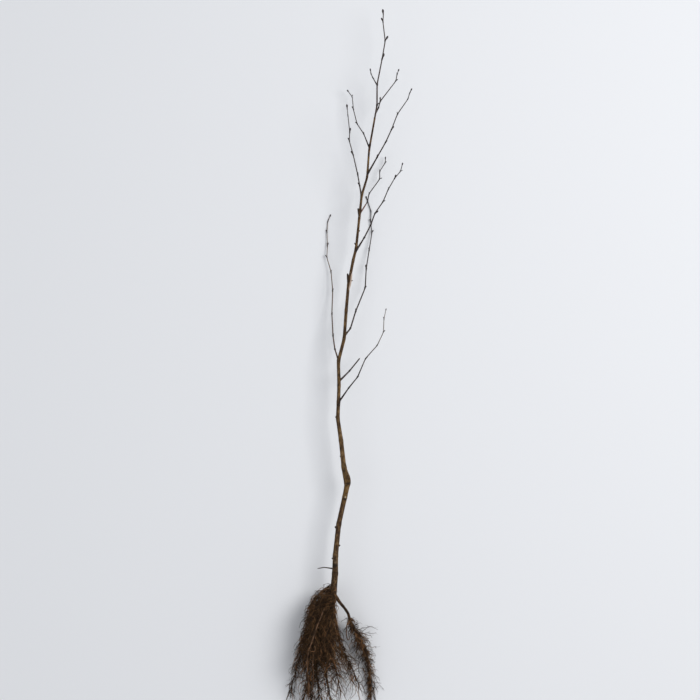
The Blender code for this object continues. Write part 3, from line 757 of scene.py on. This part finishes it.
LEADER_SHOOTS = (
    Shoot("leader_right", 1.025, -0.012, 0.0026, 0.0018,
          ((0.013, 29, 0, 0), (0.015, 14, -12, 0.95), (0.0565, 37.5, 9, 0.6), (0.0149, 10, -8, 0.4),
           (0.013, 20, 0, 0.85))),
    Shoot("leader_left", 1.085, 0.01, 0.0022, 0.0018,
          ((0.0175, -30, -9, 0.4), (0.011, -27, 8, 0.4), (0.012, -9, 0, 0.85))),
)
# The lean and the size of the bud at the end of each of the leader's stretches.
LEADER_BUDS = ((26, 0.6), (0, 0), (5, 1.3), (19, 1.25), (-15, 0.95), (-9, 1.3))
LEADER_OVERLAP = 0.002

leader_corners = stem_corners()[-len(LEADER) - 1:]
leader_line = fair_stem.part(0.0, fair_stem.length - BUD_LENGTH * LEADER_BUDS[-1][1] / 2)
leader_mesh = shoot_mesh(leader_line, leader_corners, trunk.length - LEADER_OVERLAP)
bark_of_leader = shoot_bark("leader_bark", (56, 39, 34), (56, 39, 34), (56, 39, 34))
piece("leader", leader_mesh, bark_of_leader, "twig_bark", "leader_twigs")
for shoot in LEADER_SHOOTS:
    grow_shoot(shoot, bark_of_shoots, "twig_bark", BUD_LENGTH / 2, "leader_twigs")


# The buds
# One at nearly each node, leaning out to the left or the right, and one at each whole tip. Each is a club
# of closed scales on a short stalk, dull purple brown with a waxy bloom. Sleeping ones are smaller.

# Shares of a bud's length, and its thickness at each as a share of its diameter.
BUD_SHAPE = (
    (0.0, 0.62), (0.12, 0.52), (0.24, 0.5), (0.34, 0.6), (0.44, 0.8), (0.54, 0.96), (0.64, 1.05),
    (0.74, 1.03), (0.83, 0.9), (0.9, 0.68), (0.955, 0.41), (0.985, 0.2), (1.0, 0.06),
)
BUD_SIDES = 12
BUD_SEED = 7
# How many degrees a bud may turn round its twig, and the share of the twig's radius at which its foot sits.
BUD_ROLL = 30
SEATED = 0.6
SCALES = 3
SCALES_WIND = 1.1
SEAM_WIDTH = 0.13
STALK, STALK_END = 0.2, 0.3
SEAM_DEPTH = 0.00016


def bud_at(middle, radius, way, lean, roll, size):
    """The foot and the reach of a bud that leans so many degrees to the right of the twig's way.

    It stands on the side that it leans to, and its tip is no lower than the ground.
    """
    right = way.cross(Vector((0.0, 0.0, 1.0))).normalized()
    out = Matrix.Rotation(math.radians(roll), 3, way) @ right * math.copysign(1.0, lean)
    foot = middle + out * radius * SEATED
    slant = math.radians(abs(lean))
    reach = (way * math.cos(slant) + out * math.sin(slant)) * BUD_LENGTH * size
    reach.z = max(reach.z, BUD_DIAMETER / 2 - foot.z)
    return foot, reach, size


def buds_along(corners, route, leans_and_sizes, rng):
    """The buds of a twig: one at each node that bears one, and the last at its tip."""
    found = []
    for before, node, (lean, size) in zip(corners, corners[1:], leans_and_sizes):
        way = (node - before).normalized()
        if not size:
            continue
        if node is corners[-1]:
            found.append(bud_at(node - way * BUD_LENGTH * size, 0.0, way, lean, 0.0, size))
        else:
            middle, radius, _ = route.at(route.nearest(node)[1])
            found.append(bud_at(middle, radius, way, lean, rng.uniform(-BUD_ROLL, BUD_ROLL), size))
    return found


def seam_of_scales(grown):
    """1 in the seams where the bud's scales meet, which wind a little round it, and 0 on the scales."""
    length = grown.z / BUD_LENGTH
    turn = math.atan2(grown.y, grown.x) + SCALES_WIND * length
    off_seam = abs((turn * SCALES / math.tau + 0.5) % 1.0 - 0.5)
    on_scales = min(max((length - STALK_END) * 5, 0.0), 1.0)
    return math.exp(-(off_seam / SEAM_WIDTH) ** 2) * on_scales


def stalk_of_bud(grown):
    """1 on the stalk at the bud's foot, and 0 on the scales."""
    return min(max(1.0 - (grown.z / BUD_LENGTH - STALK) * 6, 0.0), 1.0)


def bud_bark():
    """Bud scales: purple brown, lighter where the bloom lies, dark in the seams and on the stalk."""
    bark = Bark("bud_scales", 0.35, 0.1)
    bloom = bark.clouds(420.0)
    ribs = bark.clouds(2600.0, 3.0, 0.6, along=0.2)
    colour = bark.layers(
        (34, 24, 23),
        (bark.step(bloom, 0.35, 0.7), (54, 40, 38)),
        (bark.step(ribs, 0.5, 0.8) * 0.35, (88, 68, 62)),
        (bark.stored("knot_and_shade"), (20, 13, 13)),
    )
    return bark.finish(colour, 0.34 + bloom * 0.2, ribs, 0.0002)


rng = random.Random(BUD_SEED)
buds = buds_along(leader_corners, stem, LEADER_BUDS, rng)
for shoot in SHOOTS + LEADER_SHOOTS:
    buds += buds_along(*shoot_line(shoot), [stretch[2:] for stretch in shoot.stretches], rng)

bud_points = [[foot + reach * share for share, _ in BUD_SHAPE] for foot, reach, _ in buds]
bud_radii = [[BUD_DIAMETER / 2 * size * width for _, width in BUD_SHAPE] for _, _, size in buds]
bud_mesh = bent_tubes(bud_points, bud_radii, BUD_SIDES)
dark = [max(seam_of_scales(grown) * 0.9, stalk_of_bud(grown) * 0.6) for grown in grown_places(bud_mesh)]
keep_numbers(bud_mesh, "knot_and_shade", dark)
raise_bark(bud_mesh, lambda place, grown: -SEAM_DEPTH * seam_of_scales(grown))
budded_nodes = [shoot.name + "_twig" for shoot in SHOOTS if shoot.stretches[-1][3]]
piece("buds", bud_mesh, bud_bark(), "twig_bark", *budded_nodes, "leader_twigs")


# The main roots
# Eight roots leave the crown as bare limbs, a pencil thick or thinner, and two thin ones and a rootlet leave
# it near the collar. All wander a little and taper to a thread. Their bark is dark and rough.

# height is where the root leaves the stem, tip_height is its tip's above the ground, base and tip are its
# diameters, limb is the length of its bare part, and fine_roots is how many bold fine roots it bears. Its
# stretches bear to the right of straight down.
Root = namedtuple("Root", "name height tip_height base tip limb fine_roots stretches")
ROOTS = (
    Root("right", -0.0245, 0.003, 0.0068, 0.0018, 0.08, 24,
         ((0.034, 37), (0.022, 34), (0.018, 16), (0.031, 25), (0.042, 27), (0.045, 11), (0.039, 2),
          (0.048, 6), (0.04, 7))),
    Root("far_left", -0.0153, 0.003, 0.0044, 0.0016, 0.03, 28,
         ((0.04, -39), (0.037, -28), (0.052, -22), (0.05, -18), (0.052, -15), (0.033, -7))),
    Root("left", -0.035, 0.044, 0.005, 0.002, 0.028, 30,
         ((0.044, -33), (0.07, -20), (0.034, -13), (0.043, 0), (0.056, 10), (0.05, 5))),
    Root("middle_left", -0.0481, 0.02, 0.0044, 0.0016, 0.028, 25,
         ((0.042, -21), (0.052, -13), (0.051, -9), (0.059, 4), (0.059, 8))),
    Root("middle", -0.0612, 0.06, 0.005, 0.0016, 0.034, 24,
         ((0.039, -3), (0.053, -7), (0.051, -5), (0.055, 12), (0.077, 5))),
    Root("middle_right", -0.0503, 0.03, 0.0044, 0.0016, 0.036, 22,
         ((0.047, 12), (0.049, 10), (0.034, 27), (0.026, 31), (0.042, 21))),
    Root("upper", -0.0219, 0.096, 0.0044, 0.0016, 0.034, 32,
         ((0.051, -12), (0.055, -5), (0.058, 20), (0.056, 11))),
    Root("under", -0.0262, 0.003, 0.0046, 0.0016, 0.03, 24,
         ((0.055, -16), (0.072, -14), (0.068, -15), (0.06, -21))),
    Root("collar_left", -0.006, 0.044, 0.0028, 0.0012, 0.0, 28,
         ((0.028, -67), (0.03, -42), (0.041, -16), (0.049, -13), (0.046, -19))),
    Root("collar_upper", -0.012, 0.084, 0.0026, 0.0012, 0.0, 22,
         ((0.03, -48), (0.035, -22), (0.044, -9), (0.05, -7))),
)
STEM_ROOTLET = Root("stem_rootlet", 0.0295, 0.04, 0.0026, 0.0018, 0.0, 0, ((0.024, -97), (0.016, -78)))
ROOT_SIDES = 12
ROOT_RING_GAP = 0.0022
ROOT_WANDER = 0.0009
WANDER_SCALE = 42
WANDER_START = 0.03
LUMPS = 0.16
LUMP_SCALE = 130
ROUND_ROOT_TIP = 0.0008
ROOT_FOLDS = (420, 60)
ROOT_RELIEF = 0.00022


def root_line(root, shares):
    """A root's route, from the root crown's middle down to its tip."""
    start = stem.at_height(root.height)
    corners = lifted(walk(start, root.stretches, way=-1), root.tip_height - start.z)
    return tapered(bent(corners, shares), root.base, root.tip, FORK_SWELLING)


def grow_main_root(name, root, *solids):
    """Puts a main root in the scene. It wanders a little off its route, lumpy and round at its tip."""
    route = root_line(root, ROUNDED)
    marks = np.linspace(0.0, route.length, round(route.length / ROOT_RING_GAP) + 1)
    points, radii, _ = route.rings(marks)
    shift = 10.0 * ROOTS.index(root) if root in ROOTS else 0.0
    for i, mark in enumerate(marks):
        spots = [Vector((mark * WANDER_SCALE, shift + 0.5, 3 * axis + 0.5)) for axis in range(3)]
        turns = Vector([noise.noise(spot) for spot in spots])
        moved = Vector(points[i]) + turns * ROOT_WANDER * min(mark / WANDER_START, 1.0)
        radii[i] *= 1 + LUMPS * noise.noise(Vector((mark * LUMP_SCALE, shift, 5.0)))
        points[i] = (moved.x, moved.y, max(moved.z, radii[i] + cad_box[0].z))
    radii = radii * np.sqrt(np.clip((route.length - marks) / ROUND_ROOT_TIP, BLUNT, 1.0))
    mesh = bent_tubes([points], [radii], ROOT_SIDES)
    raise_bark(mesh, lambda place, grown: folds(grown, *ROOT_FOLDS) * ROOT_RELIEF)
    piece(name, mesh, bark_of_roots, "root_bark", *solids)


def root_bark(name, body, ridge, dust, dusty):
    """Rough root bark: wrinkled along and across, with dry soil in places."""
    bark = Bark(name, 0.15)
    along = bark.clouds(1100.0, 5.0, 0.65, along=0.18)
    rings = bark.clouds(320.0, along=2.2)
    soil = bark.clouds(150.0, 5.0, 0.6)
    damp = bark.step(bark.clouds(85.0, 3.0, 0.6), 0.46, 0.6)
    colour = bark.layers(
        body,
        (bark.step(along, 0.4, 0.7), ridge),
        (bark.step(soil, 1.0 - dusty, 1.12 - dusty) * 0.8, dust),
        (damp * 0.8, (30, 19, 11)),
    )
    return bark.finish(colour, 0.68 + soil * 0.25, along * 0.6 + rings * 0.4 + soil * 0.3, 0.0006)


bark_of_roots = root_bark("main_root_bark", (48, 32, 20), (80, 57, 38), (100, 76, 50), 0.48)
for root in ROOTS:
    solids = [root.name + "_root_fibres"] + ([root.name + "_root"] if root.limb else [])
    grow_main_root(root.name + "_main_root", root, *solids)
grow_main_root("rootlet_above_collar", STEM_ROOTLET, "stem_rootlet")


# The fine roots
# Each main root bears a fringe of fine roots that leave it at a slant, turn to run on with it and sag. The
# same rule, sown again, gives the thinner ones between them. They are dark, brown or russet by lot.

# The outline of the beard of roots, by depth below the collar and distance right of it.
BEARD_DEPTHS = (0.0, 0.02, 0.04, 0.08, 0.105, 0.127, 0.15, 0.19, 0.338)
BEARD_LEFT = (-0.02, -0.05, -0.058, -0.068, -0.072, -0.081, -0.088, -0.1, -0.125)
BEARD_RIGHT = (0.012, 0.008, 0.002, 0.002, 0.012, 0.022, 0.04, 0.06, 0.098)
LOWEST_ROOT = BEARD_DEPTHS[-1]
# The root whose fine roots make a bush of their own, apart from the beard.
APART_FROM_BEARD = "right"
CLEARANCE = 0.0003
ROOT_CROWN_RADIUS = 0.008
ROOT_SEED = 40
# The grades of fine root: the bold and the thin ones here, and the hair roots in their own section. stray is
# how far past the beard's outline they may reach, as a rule, where it is widest open.
Grade = namedtuple("Grade", "lengths diameters slants steps wander sag stray")
BOLD = Grade((0.032, 0.085), (0.0014, 0.0007), (15, 55), 4, 0.45, 0.12, 0.0)
THIN = Grade((0.022, 0.08), (0.0014, 0.0006), (10, 85), 7, 0.95, 0.08, 0.005)
BOLD_SIDES, THIN_SIDES = 6, 4
# How strongly a fine root turns to run on with the root that bears it, and how its thickness varies.
PULL = 0.4
SIZES = (0.75, 1.15)
ROUND_END = 0.3
TRIES = 12
LAST_FINE_ROOT = 0.97


def fine_root(rng, strand, mark, length):
    """The route of one fine root that leaves the strand at that length along it."""
    start, _, along = strand.at(mark)
    slant = math.radians(rng.uniform(*BOLD.slants))
    out = Matrix.Rotation(rng.uniform(0.0, math.tau), 3, along) @ along.orthogonal().normalized()
    heading = along * math.cos(slant) + out * math.sin(slant)
    points = [start]
    for _ in range(BOLD.steps):
        wander = Vector([rng.uniform(-1.0, 1.0) for _ in range(3)]) * BOLD.wander
        heading = heading + along * PULL + wander - Vector((0.0, 0.0, BOLD.sag))
        heading.normalize()
        point = points[-1] + heading * length / BOLD.steps
        point.z = max(point.z, BOLD.diameters[0] / 2)
        points.append(point)
    return tapered(points, *BOLD.diameters)


def beard_edges(depth):
    """How far right of the collar the beard's left and right edges are, at a depth below it."""
    return np.interp(depth, BEARD_DEPTHS, BEARD_LEFT), np.interp(depth, BEARD_DEPTHS, BEARD_RIGHT)


def in_beard(point):
    """True where the point lies inside the outline of the beard of roots."""
    depth = COLLAR.y - point.y
    left, right = beard_edges(depth)
    return 0.0 <= depth <= LOWEST_ROOT and left <= point.x - COLLAR.x <= right


def keeps_to_its_space(fine, root, routes, limbs):
    """True where a fine root stays in the beard, nearest to its own root and clear of every limb."""
    clear = BOLD.diameters[0] / 2 + CLEARANCE
    for point in fine.points[1:]:
        if point.y < COLLAR.y - LOWEST_ROOT:
            return False
        if root.name != APART_FROM_BEARD and not in_beard(point):
            return False
        own = routes[root.name].nearest(point)[0]
        others = [route.nearest(point)[0] for name, route in routes.items() if name != root.name]
        if (min(others) - own) / 2 < clear:
            return False
        if any(route.nearest(point)[0] < thickest + clear + CLEARANCE for route, thickest in limbs):
            return False
    return True


def fine_roots(root, strand, routes, limbs, rng):
    """The fine roots of one mass, in order down its strand; one that leaves its space is tried again.

    A strand with no bare limb starts inside the root crown, so its first fine roots wait till it is out.
    """
    first = 0.0 if root.limb else 2 * ROOT_CROWN_RADIUS
    last = LAST_FINE_ROOT * strand.length
    kept = []
    for i in range(root.fine_roots):
        for _ in range(TRIES):
            mark = first + (last - first) * (i + rng.random()) / root.fine_roots
            fine = fine_root(rng, strand, mark, rng.uniform(*BOLD.lengths))
            if keeps_to_its_space(fine, root, routes, limbs):
                kept.append(fine)
                break
    return kept


def softened(rows, times=1):
    """Rows of points with their corners cut, so that the lines bend softly."""
    for _ in range(times):
        near, far = rows[:, :-1] * 0.75 + rows[:, 1:] * 0.25, rows[:, :-1] * 0.25 + rows[:, 1:] * 0.75
        between = np.stack([near, far], axis=2).reshape(len(rows), -1, 3)
        rows = np.concatenate([rows[:, :1], between, rows[:, -1:]], axis=1)
    return rows


routes = {root.name: root_line(root, CUT_OFF) for root in ROOTS}
crown = stem.part(0.0, stem.nearest(stem.at_height(STEM_ROOTLET.height))[1])
limbs = [(crown, ROOT_CROWN_RADIUS)]
limbs += [(routes[root.name].part(0.0, root.limb), root.base / 2) for root in ROOTS if root.limb]
sown = []
for i, root in enumerate(ROOTS):
    route = routes[root.name]
    strand = route.part(root.limb + CLEARANCE, route.length) if root.limb else route
    sown += fine_roots(root, strand, routes, limbs, random.Random(ROOT_SEED + i))
bold = softened(np.array([fine.points for fine in sown]))

MORE_FINE_ROOTS = 2300
MORE_ON_APART = 1.3
# Two numbers that shape the lot of places along a root: most thin roots leave it near its start.
ALONG_ROOT, ALONG_APART = (0.85, 1.7), (0.8, 1.6)
BARE_START, BARE_OF_APART = 0.012, 0.066
# The thin roots of the crown itself keep off its two ends, and lean sideways by lot, most to the left.
CROWN_FINE_ROOTS = 480
CROWN_ENDS = 0.004
CROWN_LEANS = (-1.3, 0.1)
# The edges of the bush apart, by distance right of the collar, and how much shorter its fine roots are.
APART_LEFT, APART_RIGHT = -0.004, 0.128
APART_SHORTER = 0.5
# How far the ends of roots stay inside the solids' box and below the collar.
HELD_IN = 0.001
# The depth below the collar from which they stray past the beard's outline in full.
WIDE_OPEN = 0.08
# Depths below the collar, the share of the thin roots kept there, and how short those of the root apart are.
THINNED_DEPTHS, KEPT_SHARES = (0.01, 0.05, 0.17, 0.23), (0.35, 1.0, 1.0, 0.55)
SHORTER_DEPTHS, SHORTER_SHARES = (0.085, 0.115, 0.17), (0.4, 0.75, APART_SHORTER)


def inside(rows, apart, stray):
    """True for each row of points that stays in the beard, or beside the root apart, and in the box.

    A row may stray a little past the beard's outline, each as far as its lot lets it.
    """
    depth = COLLAR.y - rows[:, :, 1]
    across = rows[:, :, 0] - COLLAR.x
    loose = dice.normal(0.0, stray, (len(rows), 1)) * np.clip(depth / WIDE_OPEN, 0.1, 1.0)
    left, right = beard_edges(depth)
    left = np.where(apart[:, None], APART_LEFT, left - loose)
    right = np.where(apart[:, None], APART_RIGHT, right + loose)
    within = (across >= left) & (across <= right) & (depth > HELD_IN)
    boxed = (rows > np.array(cad_box[0]) + (HELD_IN, HELD_IN, 0.0)) & (rows < np.array(cad_box[1]) - HELD_IN)
    return (within & boxed.all(2)).all(1)


def thinned(rows, apart):
    """True for the rows that are kept: all of them in the middle, fewer beside the collar and far down."""
    kept = np.interp(COLLAR.y - rows[:, -1, 1], THINNED_DEPTHS, KEPT_SHARES)
    return apart | (dice.random(len(rows)) < kept)


def fringe(grade, starts, alongs, apart, shorter):
    """Rows of points for roots that leave those starts at a slant and turn to run on the given ways.

    Those of the root apart are shorter by the share given.
    """
    count = len(starts)
    lengths = dice.uniform(*grade.lengths, count) * np.where(apart, shorter, 1.0)
    spin = dice.normal(size=(count, 3))
    spin -= alongs * (spin * alongs).sum(1, keepdims=True)
    spin /= np.linalg.norm(spin, axis=1, keepdims=True)
    slant = np.radians(dice.uniform(*grade.slants, (count, 1)))
    heading = alongs * np.cos(slant) + spin * np.sin(slant)
    points = [starts]
    for _ in range(grade.steps):
        turn = dice.uniform(-1.0, 1.0, (count, 3)) * grade.wander
        heading = heading + alongs * PULL + turn - (0.0, 0.0, grade.sag)
        heading /= np.linalg.norm(heading, axis=1, keepdims=True)
        point = points[-1] + heading * lengths[:, None] / grade.steps
        point[:, 2] = np.maximum(point[:, 2], cad_box[0].z + grade.diameters[0] / 2)
        points.append(point)
    rows = np.stack(points, axis=1)
    return softened(rows[inside(rows, apart, grade.stray) & thinned(rows, apart)])


def root_sizes(rows, base, tip):
    """Radii for each row of points, in an even taper with a round end; some are thicker than others."""
    share = np.linspace(0.0, 1.0, rows.shape[1])
    taper = (base + (tip - base) * share) / 2
    taper[-1] *= ROUND_END
    return np.tile(taper, (len(rows), 1)) * dice.uniform(*SIZES, (len(rows), 1))


dice = np.random.default_rng(ROOT_SEED)
starts, alongs, apart = [], [], []
for root in ROOTS:
    route = routes[root.name]
    is_apart = root.name == APART_FROM_BEARD
    share = route.length / sum(route.length for route in routes.values())
    bare = BARE_OF_APART if is_apart else BARE_START
    more = round(MORE_FINE_ROOTS * share * (MORE_ON_APART if is_apart else 1.0))
    places = dice.beta(*(ALONG_APART if is_apart else ALONG_ROOT), more)
    points, _, ways = route.rings(bare + places * (route.length - bare))
    starts.append(points)
    alongs.append(ways)
    apart.append(np.full(more, is_apart))
crown_marks = dice.uniform(CROWN_ENDS, crown.length - STEM_ROOTLET.height - CROWN_ENDS, CROWN_FINE_ROOTS)
points, _, ways = crown.rings(crown_marks)
ways = -ways
ways[:, 0] += dice.uniform(*CROWN_LEANS, CROWN_FINE_ROOTS)
starts = np.concatenate([*starts, points])
alongs = np.concatenate([*alongs, ways / np.linalg.norm(ways, axis=1, keepdims=True)])
apart = np.concatenate([*apart, np.full(CROWN_FINE_ROOTS, False)])
shorter = np.interp(COLLAR.y - starts[:, 1], SHORTER_DEPTHS, SHORTER_SHARES)
thin = fringe(THIN, starts, alongs, apart, shorter)

all_fibres = [root.name + "_root_fibres" for root in ROOTS]
# The bark's body, ridges and dust, how dusty it is, and the share of the fine roots that have it.
FINE_BARKS = {
    "dark": ((44, 30, 19), (76, 54, 36), (92, 70, 46), 0.46, 0.46),
    "brown": ((86, 60, 38), (122, 90, 58), (130, 102, 68), 0.48, 0.32),
    "russet": ((128, 90, 60), (172, 128, 90), (160, 128, 90), 0.46, 0.22),
}
fine_barks = {tone: root_bark(tone + "_fine_root", *row[:4]) for tone, row in FINE_BARKS.items()}
for name, grade, rows, sides in (("bold", BOLD, bold, BOLD_SIDES), ("thin", THIN, thin, THIN_SIDES)):
    lot = dice.random(len(rows))
    floor = 0.0
    for tone, (*_, share) in FINE_BARKS.items():
        chosen = rows[(lot >= floor) & (lot < floor + share)]
        floor += share
        mesh = bent_tubes(chosen, root_sizes(chosen, *grade.diameters), sides)
        piece(f"{name}_{tone}_fine_roots", mesh, fine_barks[tone], "fine_root_bark", *all_fibres)


# The long strands
# A few smooth lighter strands that lie on top of the beard and beside the root apart: one runs down the left
# of it, others cross it, and one makes a loop. They are as thick as string, with clean brown bark.

# The root that each grows from, its diameter at the foot, and its corners.
STRANDS = {
    "upper": (0.0027, (
        (-0.048, -0.51, 0.066), (-0.053, -0.52, 0.092), (-0.0565, -0.5291, 0.103),
        (-0.0655, -0.55, 0.109), (-0.0728, -0.573, 0.11), (-0.0815, -0.597, 0.108),
        (-0.0862, -0.617, 0.104), (-0.0873, -0.637, 0.099), (-0.0845, -0.66, 0.095),
        (-0.0814, -0.685, 0.086), (-0.085, -0.715, 0.078))),
    "middle": (0.0017, (
        (-0.062, -0.583, 0.07), (-0.07, -0.6, 0.09), (-0.0735, -0.615, 0.096),
        (-0.075, -0.635, 0.094), (-0.072, -0.656, 0.09), (-0.076, -0.68, 0.082),
        (-0.07, -0.71, 0.074))),
    "middle_right": (0.0017, (
        (-0.039, -0.55, 0.052), (-0.03, -0.572, 0.068), (-0.031, -0.59, 0.072),
        (-0.02, -0.615, 0.07), (-0.008, -0.637, 0.064), (0.002, -0.655, 0.05))),
    "right": (0.0026, (
        (0.004, -0.54, 0.0395), (-0.0016, -0.554, 0.04), (-0.0016, -0.572, 0.039),
        (0.001, -0.585, 0.037), (0.0052, -0.583, 0.035), (0.0085, -0.569, 0.034),
        (0.0125, -0.56, 0.0335))),
}
STRAND_SIDES = 8
STRAND_TIP = 0.5
strand_bark = root_bark("strand_bark", (94, 68, 50), (128, 100, 78), (112, 90, 68), 0.42)
for root_name, (thickness, corners) in STRANDS.items():
    rows = softened(np.array([corners]), 2)
    sizes = np.linspace(1.0, STRAND_TIP, rows.shape[1]) * thickness / 2
    sizes[-1] *= ROUND_END
    mesh = bent_tubes(rows, [sizes], STRAND_SIDES)
    piece(f"{root_name}_strand", mesh, strand_bark, "fine_root_bark", root_name + "_root_fibres")


# The hair roots
# The last and thinnest roots, as fine as sewing thread. They leave the fine roots all along and mat
# together, so that from a little way off the beard looks nearly black.

HAIR = Grade((0.006, 0.028), (0.00048, 0.00026), (20, 95), 3, 1.1, 0.1, 0.006)
HAIR_ROOTS = 14500
HAIR_SIDES = 3
ALONG_BEARER = (0.02, 0.98)
HAIRS_A_MESH = 4400

every = np.linspace(0, thin.shape[1] - 1, bold.shape[1]).round().astype(int)
bearers = np.concatenate([bold, thin[:, every]])
which = dice.integers(0, len(bearers), HAIR_ROOTS)
place = dice.uniform(*ALONG_BEARER, HAIR_ROOTS) * (bearers.shape[1] - 1)
before = place.astype(int)
share = (place - before)[:, None]
hair_starts = bearers[which, before] * (1 - share) + bearers[which, before + 1] * share
hair_ways = bearers[which, before + 1] - bearers[which, before]
hair_ways /= np.linalg.norm(hair_ways, axis=1, keepdims=True)
beside = hair_starts[:, 0] - COLLAR.x > beard_edges(COLLAR.y - hair_starts[:, 1])[1]
hairs = fringe(HAIR, hair_starts, hair_ways, beside, APART_SHORTER)
hair_bark = root_bark("hair_root", (58, 40, 25), (104, 77, 50), (116, 90, 60), 0.5)
for number, start in enumerate(range(0, len(hairs), HAIRS_A_MESH)):
    rows = hairs[start:start + HAIRS_A_MESH]
    mesh = bent_tubes(rows, root_sizes(rows, *HAIR.diameters), HAIR_SIDES)
    piece(f"hair_roots_{number}", mesh, hair_bark, "fine_root_bark", *all_fibres)


# The ground, the light and the camera
# Plain pale ground. One large soft light stands above the camera's right side and a weaker one on its left,
# under a pale sky. The camera looks straight down on the plant.

GROUND_SIDE = 9.0
VIEW_CENTRE = Vector((0.0065, 0.051))
VIEW_WIDTH = 1.5295
VIEW_PLANE = 0.058
LENS = 200.0
SENSOR = 36.0

ground_bm = bmesh.new()
bmesh.ops.create_grid(ground_bm, x_segments=1, y_segments=1, size=GROUND_SIDE / 2)
ground_mesh = finished(ground_bm)
ground = in_scene("ground", ground_mesh)
ground_paint = bpy.data.materials.new("ground_paint")
ground_paint.use_nodes = True
ground_shader = ground_paint.node_tree.nodes["Principled BSDF"]
ground_shader.inputs["Base Color"].default_value = (0.8, 0.805, 0.82, 1.0)
ground_shader.inputs["Roughness"].default_value = 0.9
ground_mesh.materials.append(ground_paint)

for name, place, size, power in (
    ("key_light", Vector((2.9, 1.2, 4.0)), 3.0, 160.0),
    ("fill_light", Vector((-2.6, -0.8, 3.6)), 3.0, 14.0),
):
    lamp = bpy.data.lights.new(name, "AREA")
    lamp.shape = "DISK"
    lamp.size = size
    lamp.energy = power
    light = in_scene(name, lamp)
    light.location = place
    light.rotation_mode = "QUATERNION"
    light.rotation_quaternion = (-place).to_track_quat("-Z", "Y")

sky = bpy.data.worlds.new("sky")
sky.use_nodes = True
sky.node_tree.nodes["Background"].inputs["Color"].default_value = (0.92, 0.95, 1.0, 1.0)
sky.node_tree.nodes["Background"].inputs["Strength"].default_value = 0.5
bpy.context.scene.world = sky
bpy.context.scene.view_settings.view_transform = "Standard"

eye = bpy.data.cameras.new("camera")
eye.lens = LENS
eye.sensor_width = SENSOR
eye.clip_end = 60.0
camera = in_scene("camera", eye)
camera.location = (*VIEW_CENTRE, VIEW_PLANE + VIEW_WIDTH * LENS / SENSOR)
bpy.context.scene.camera = camera
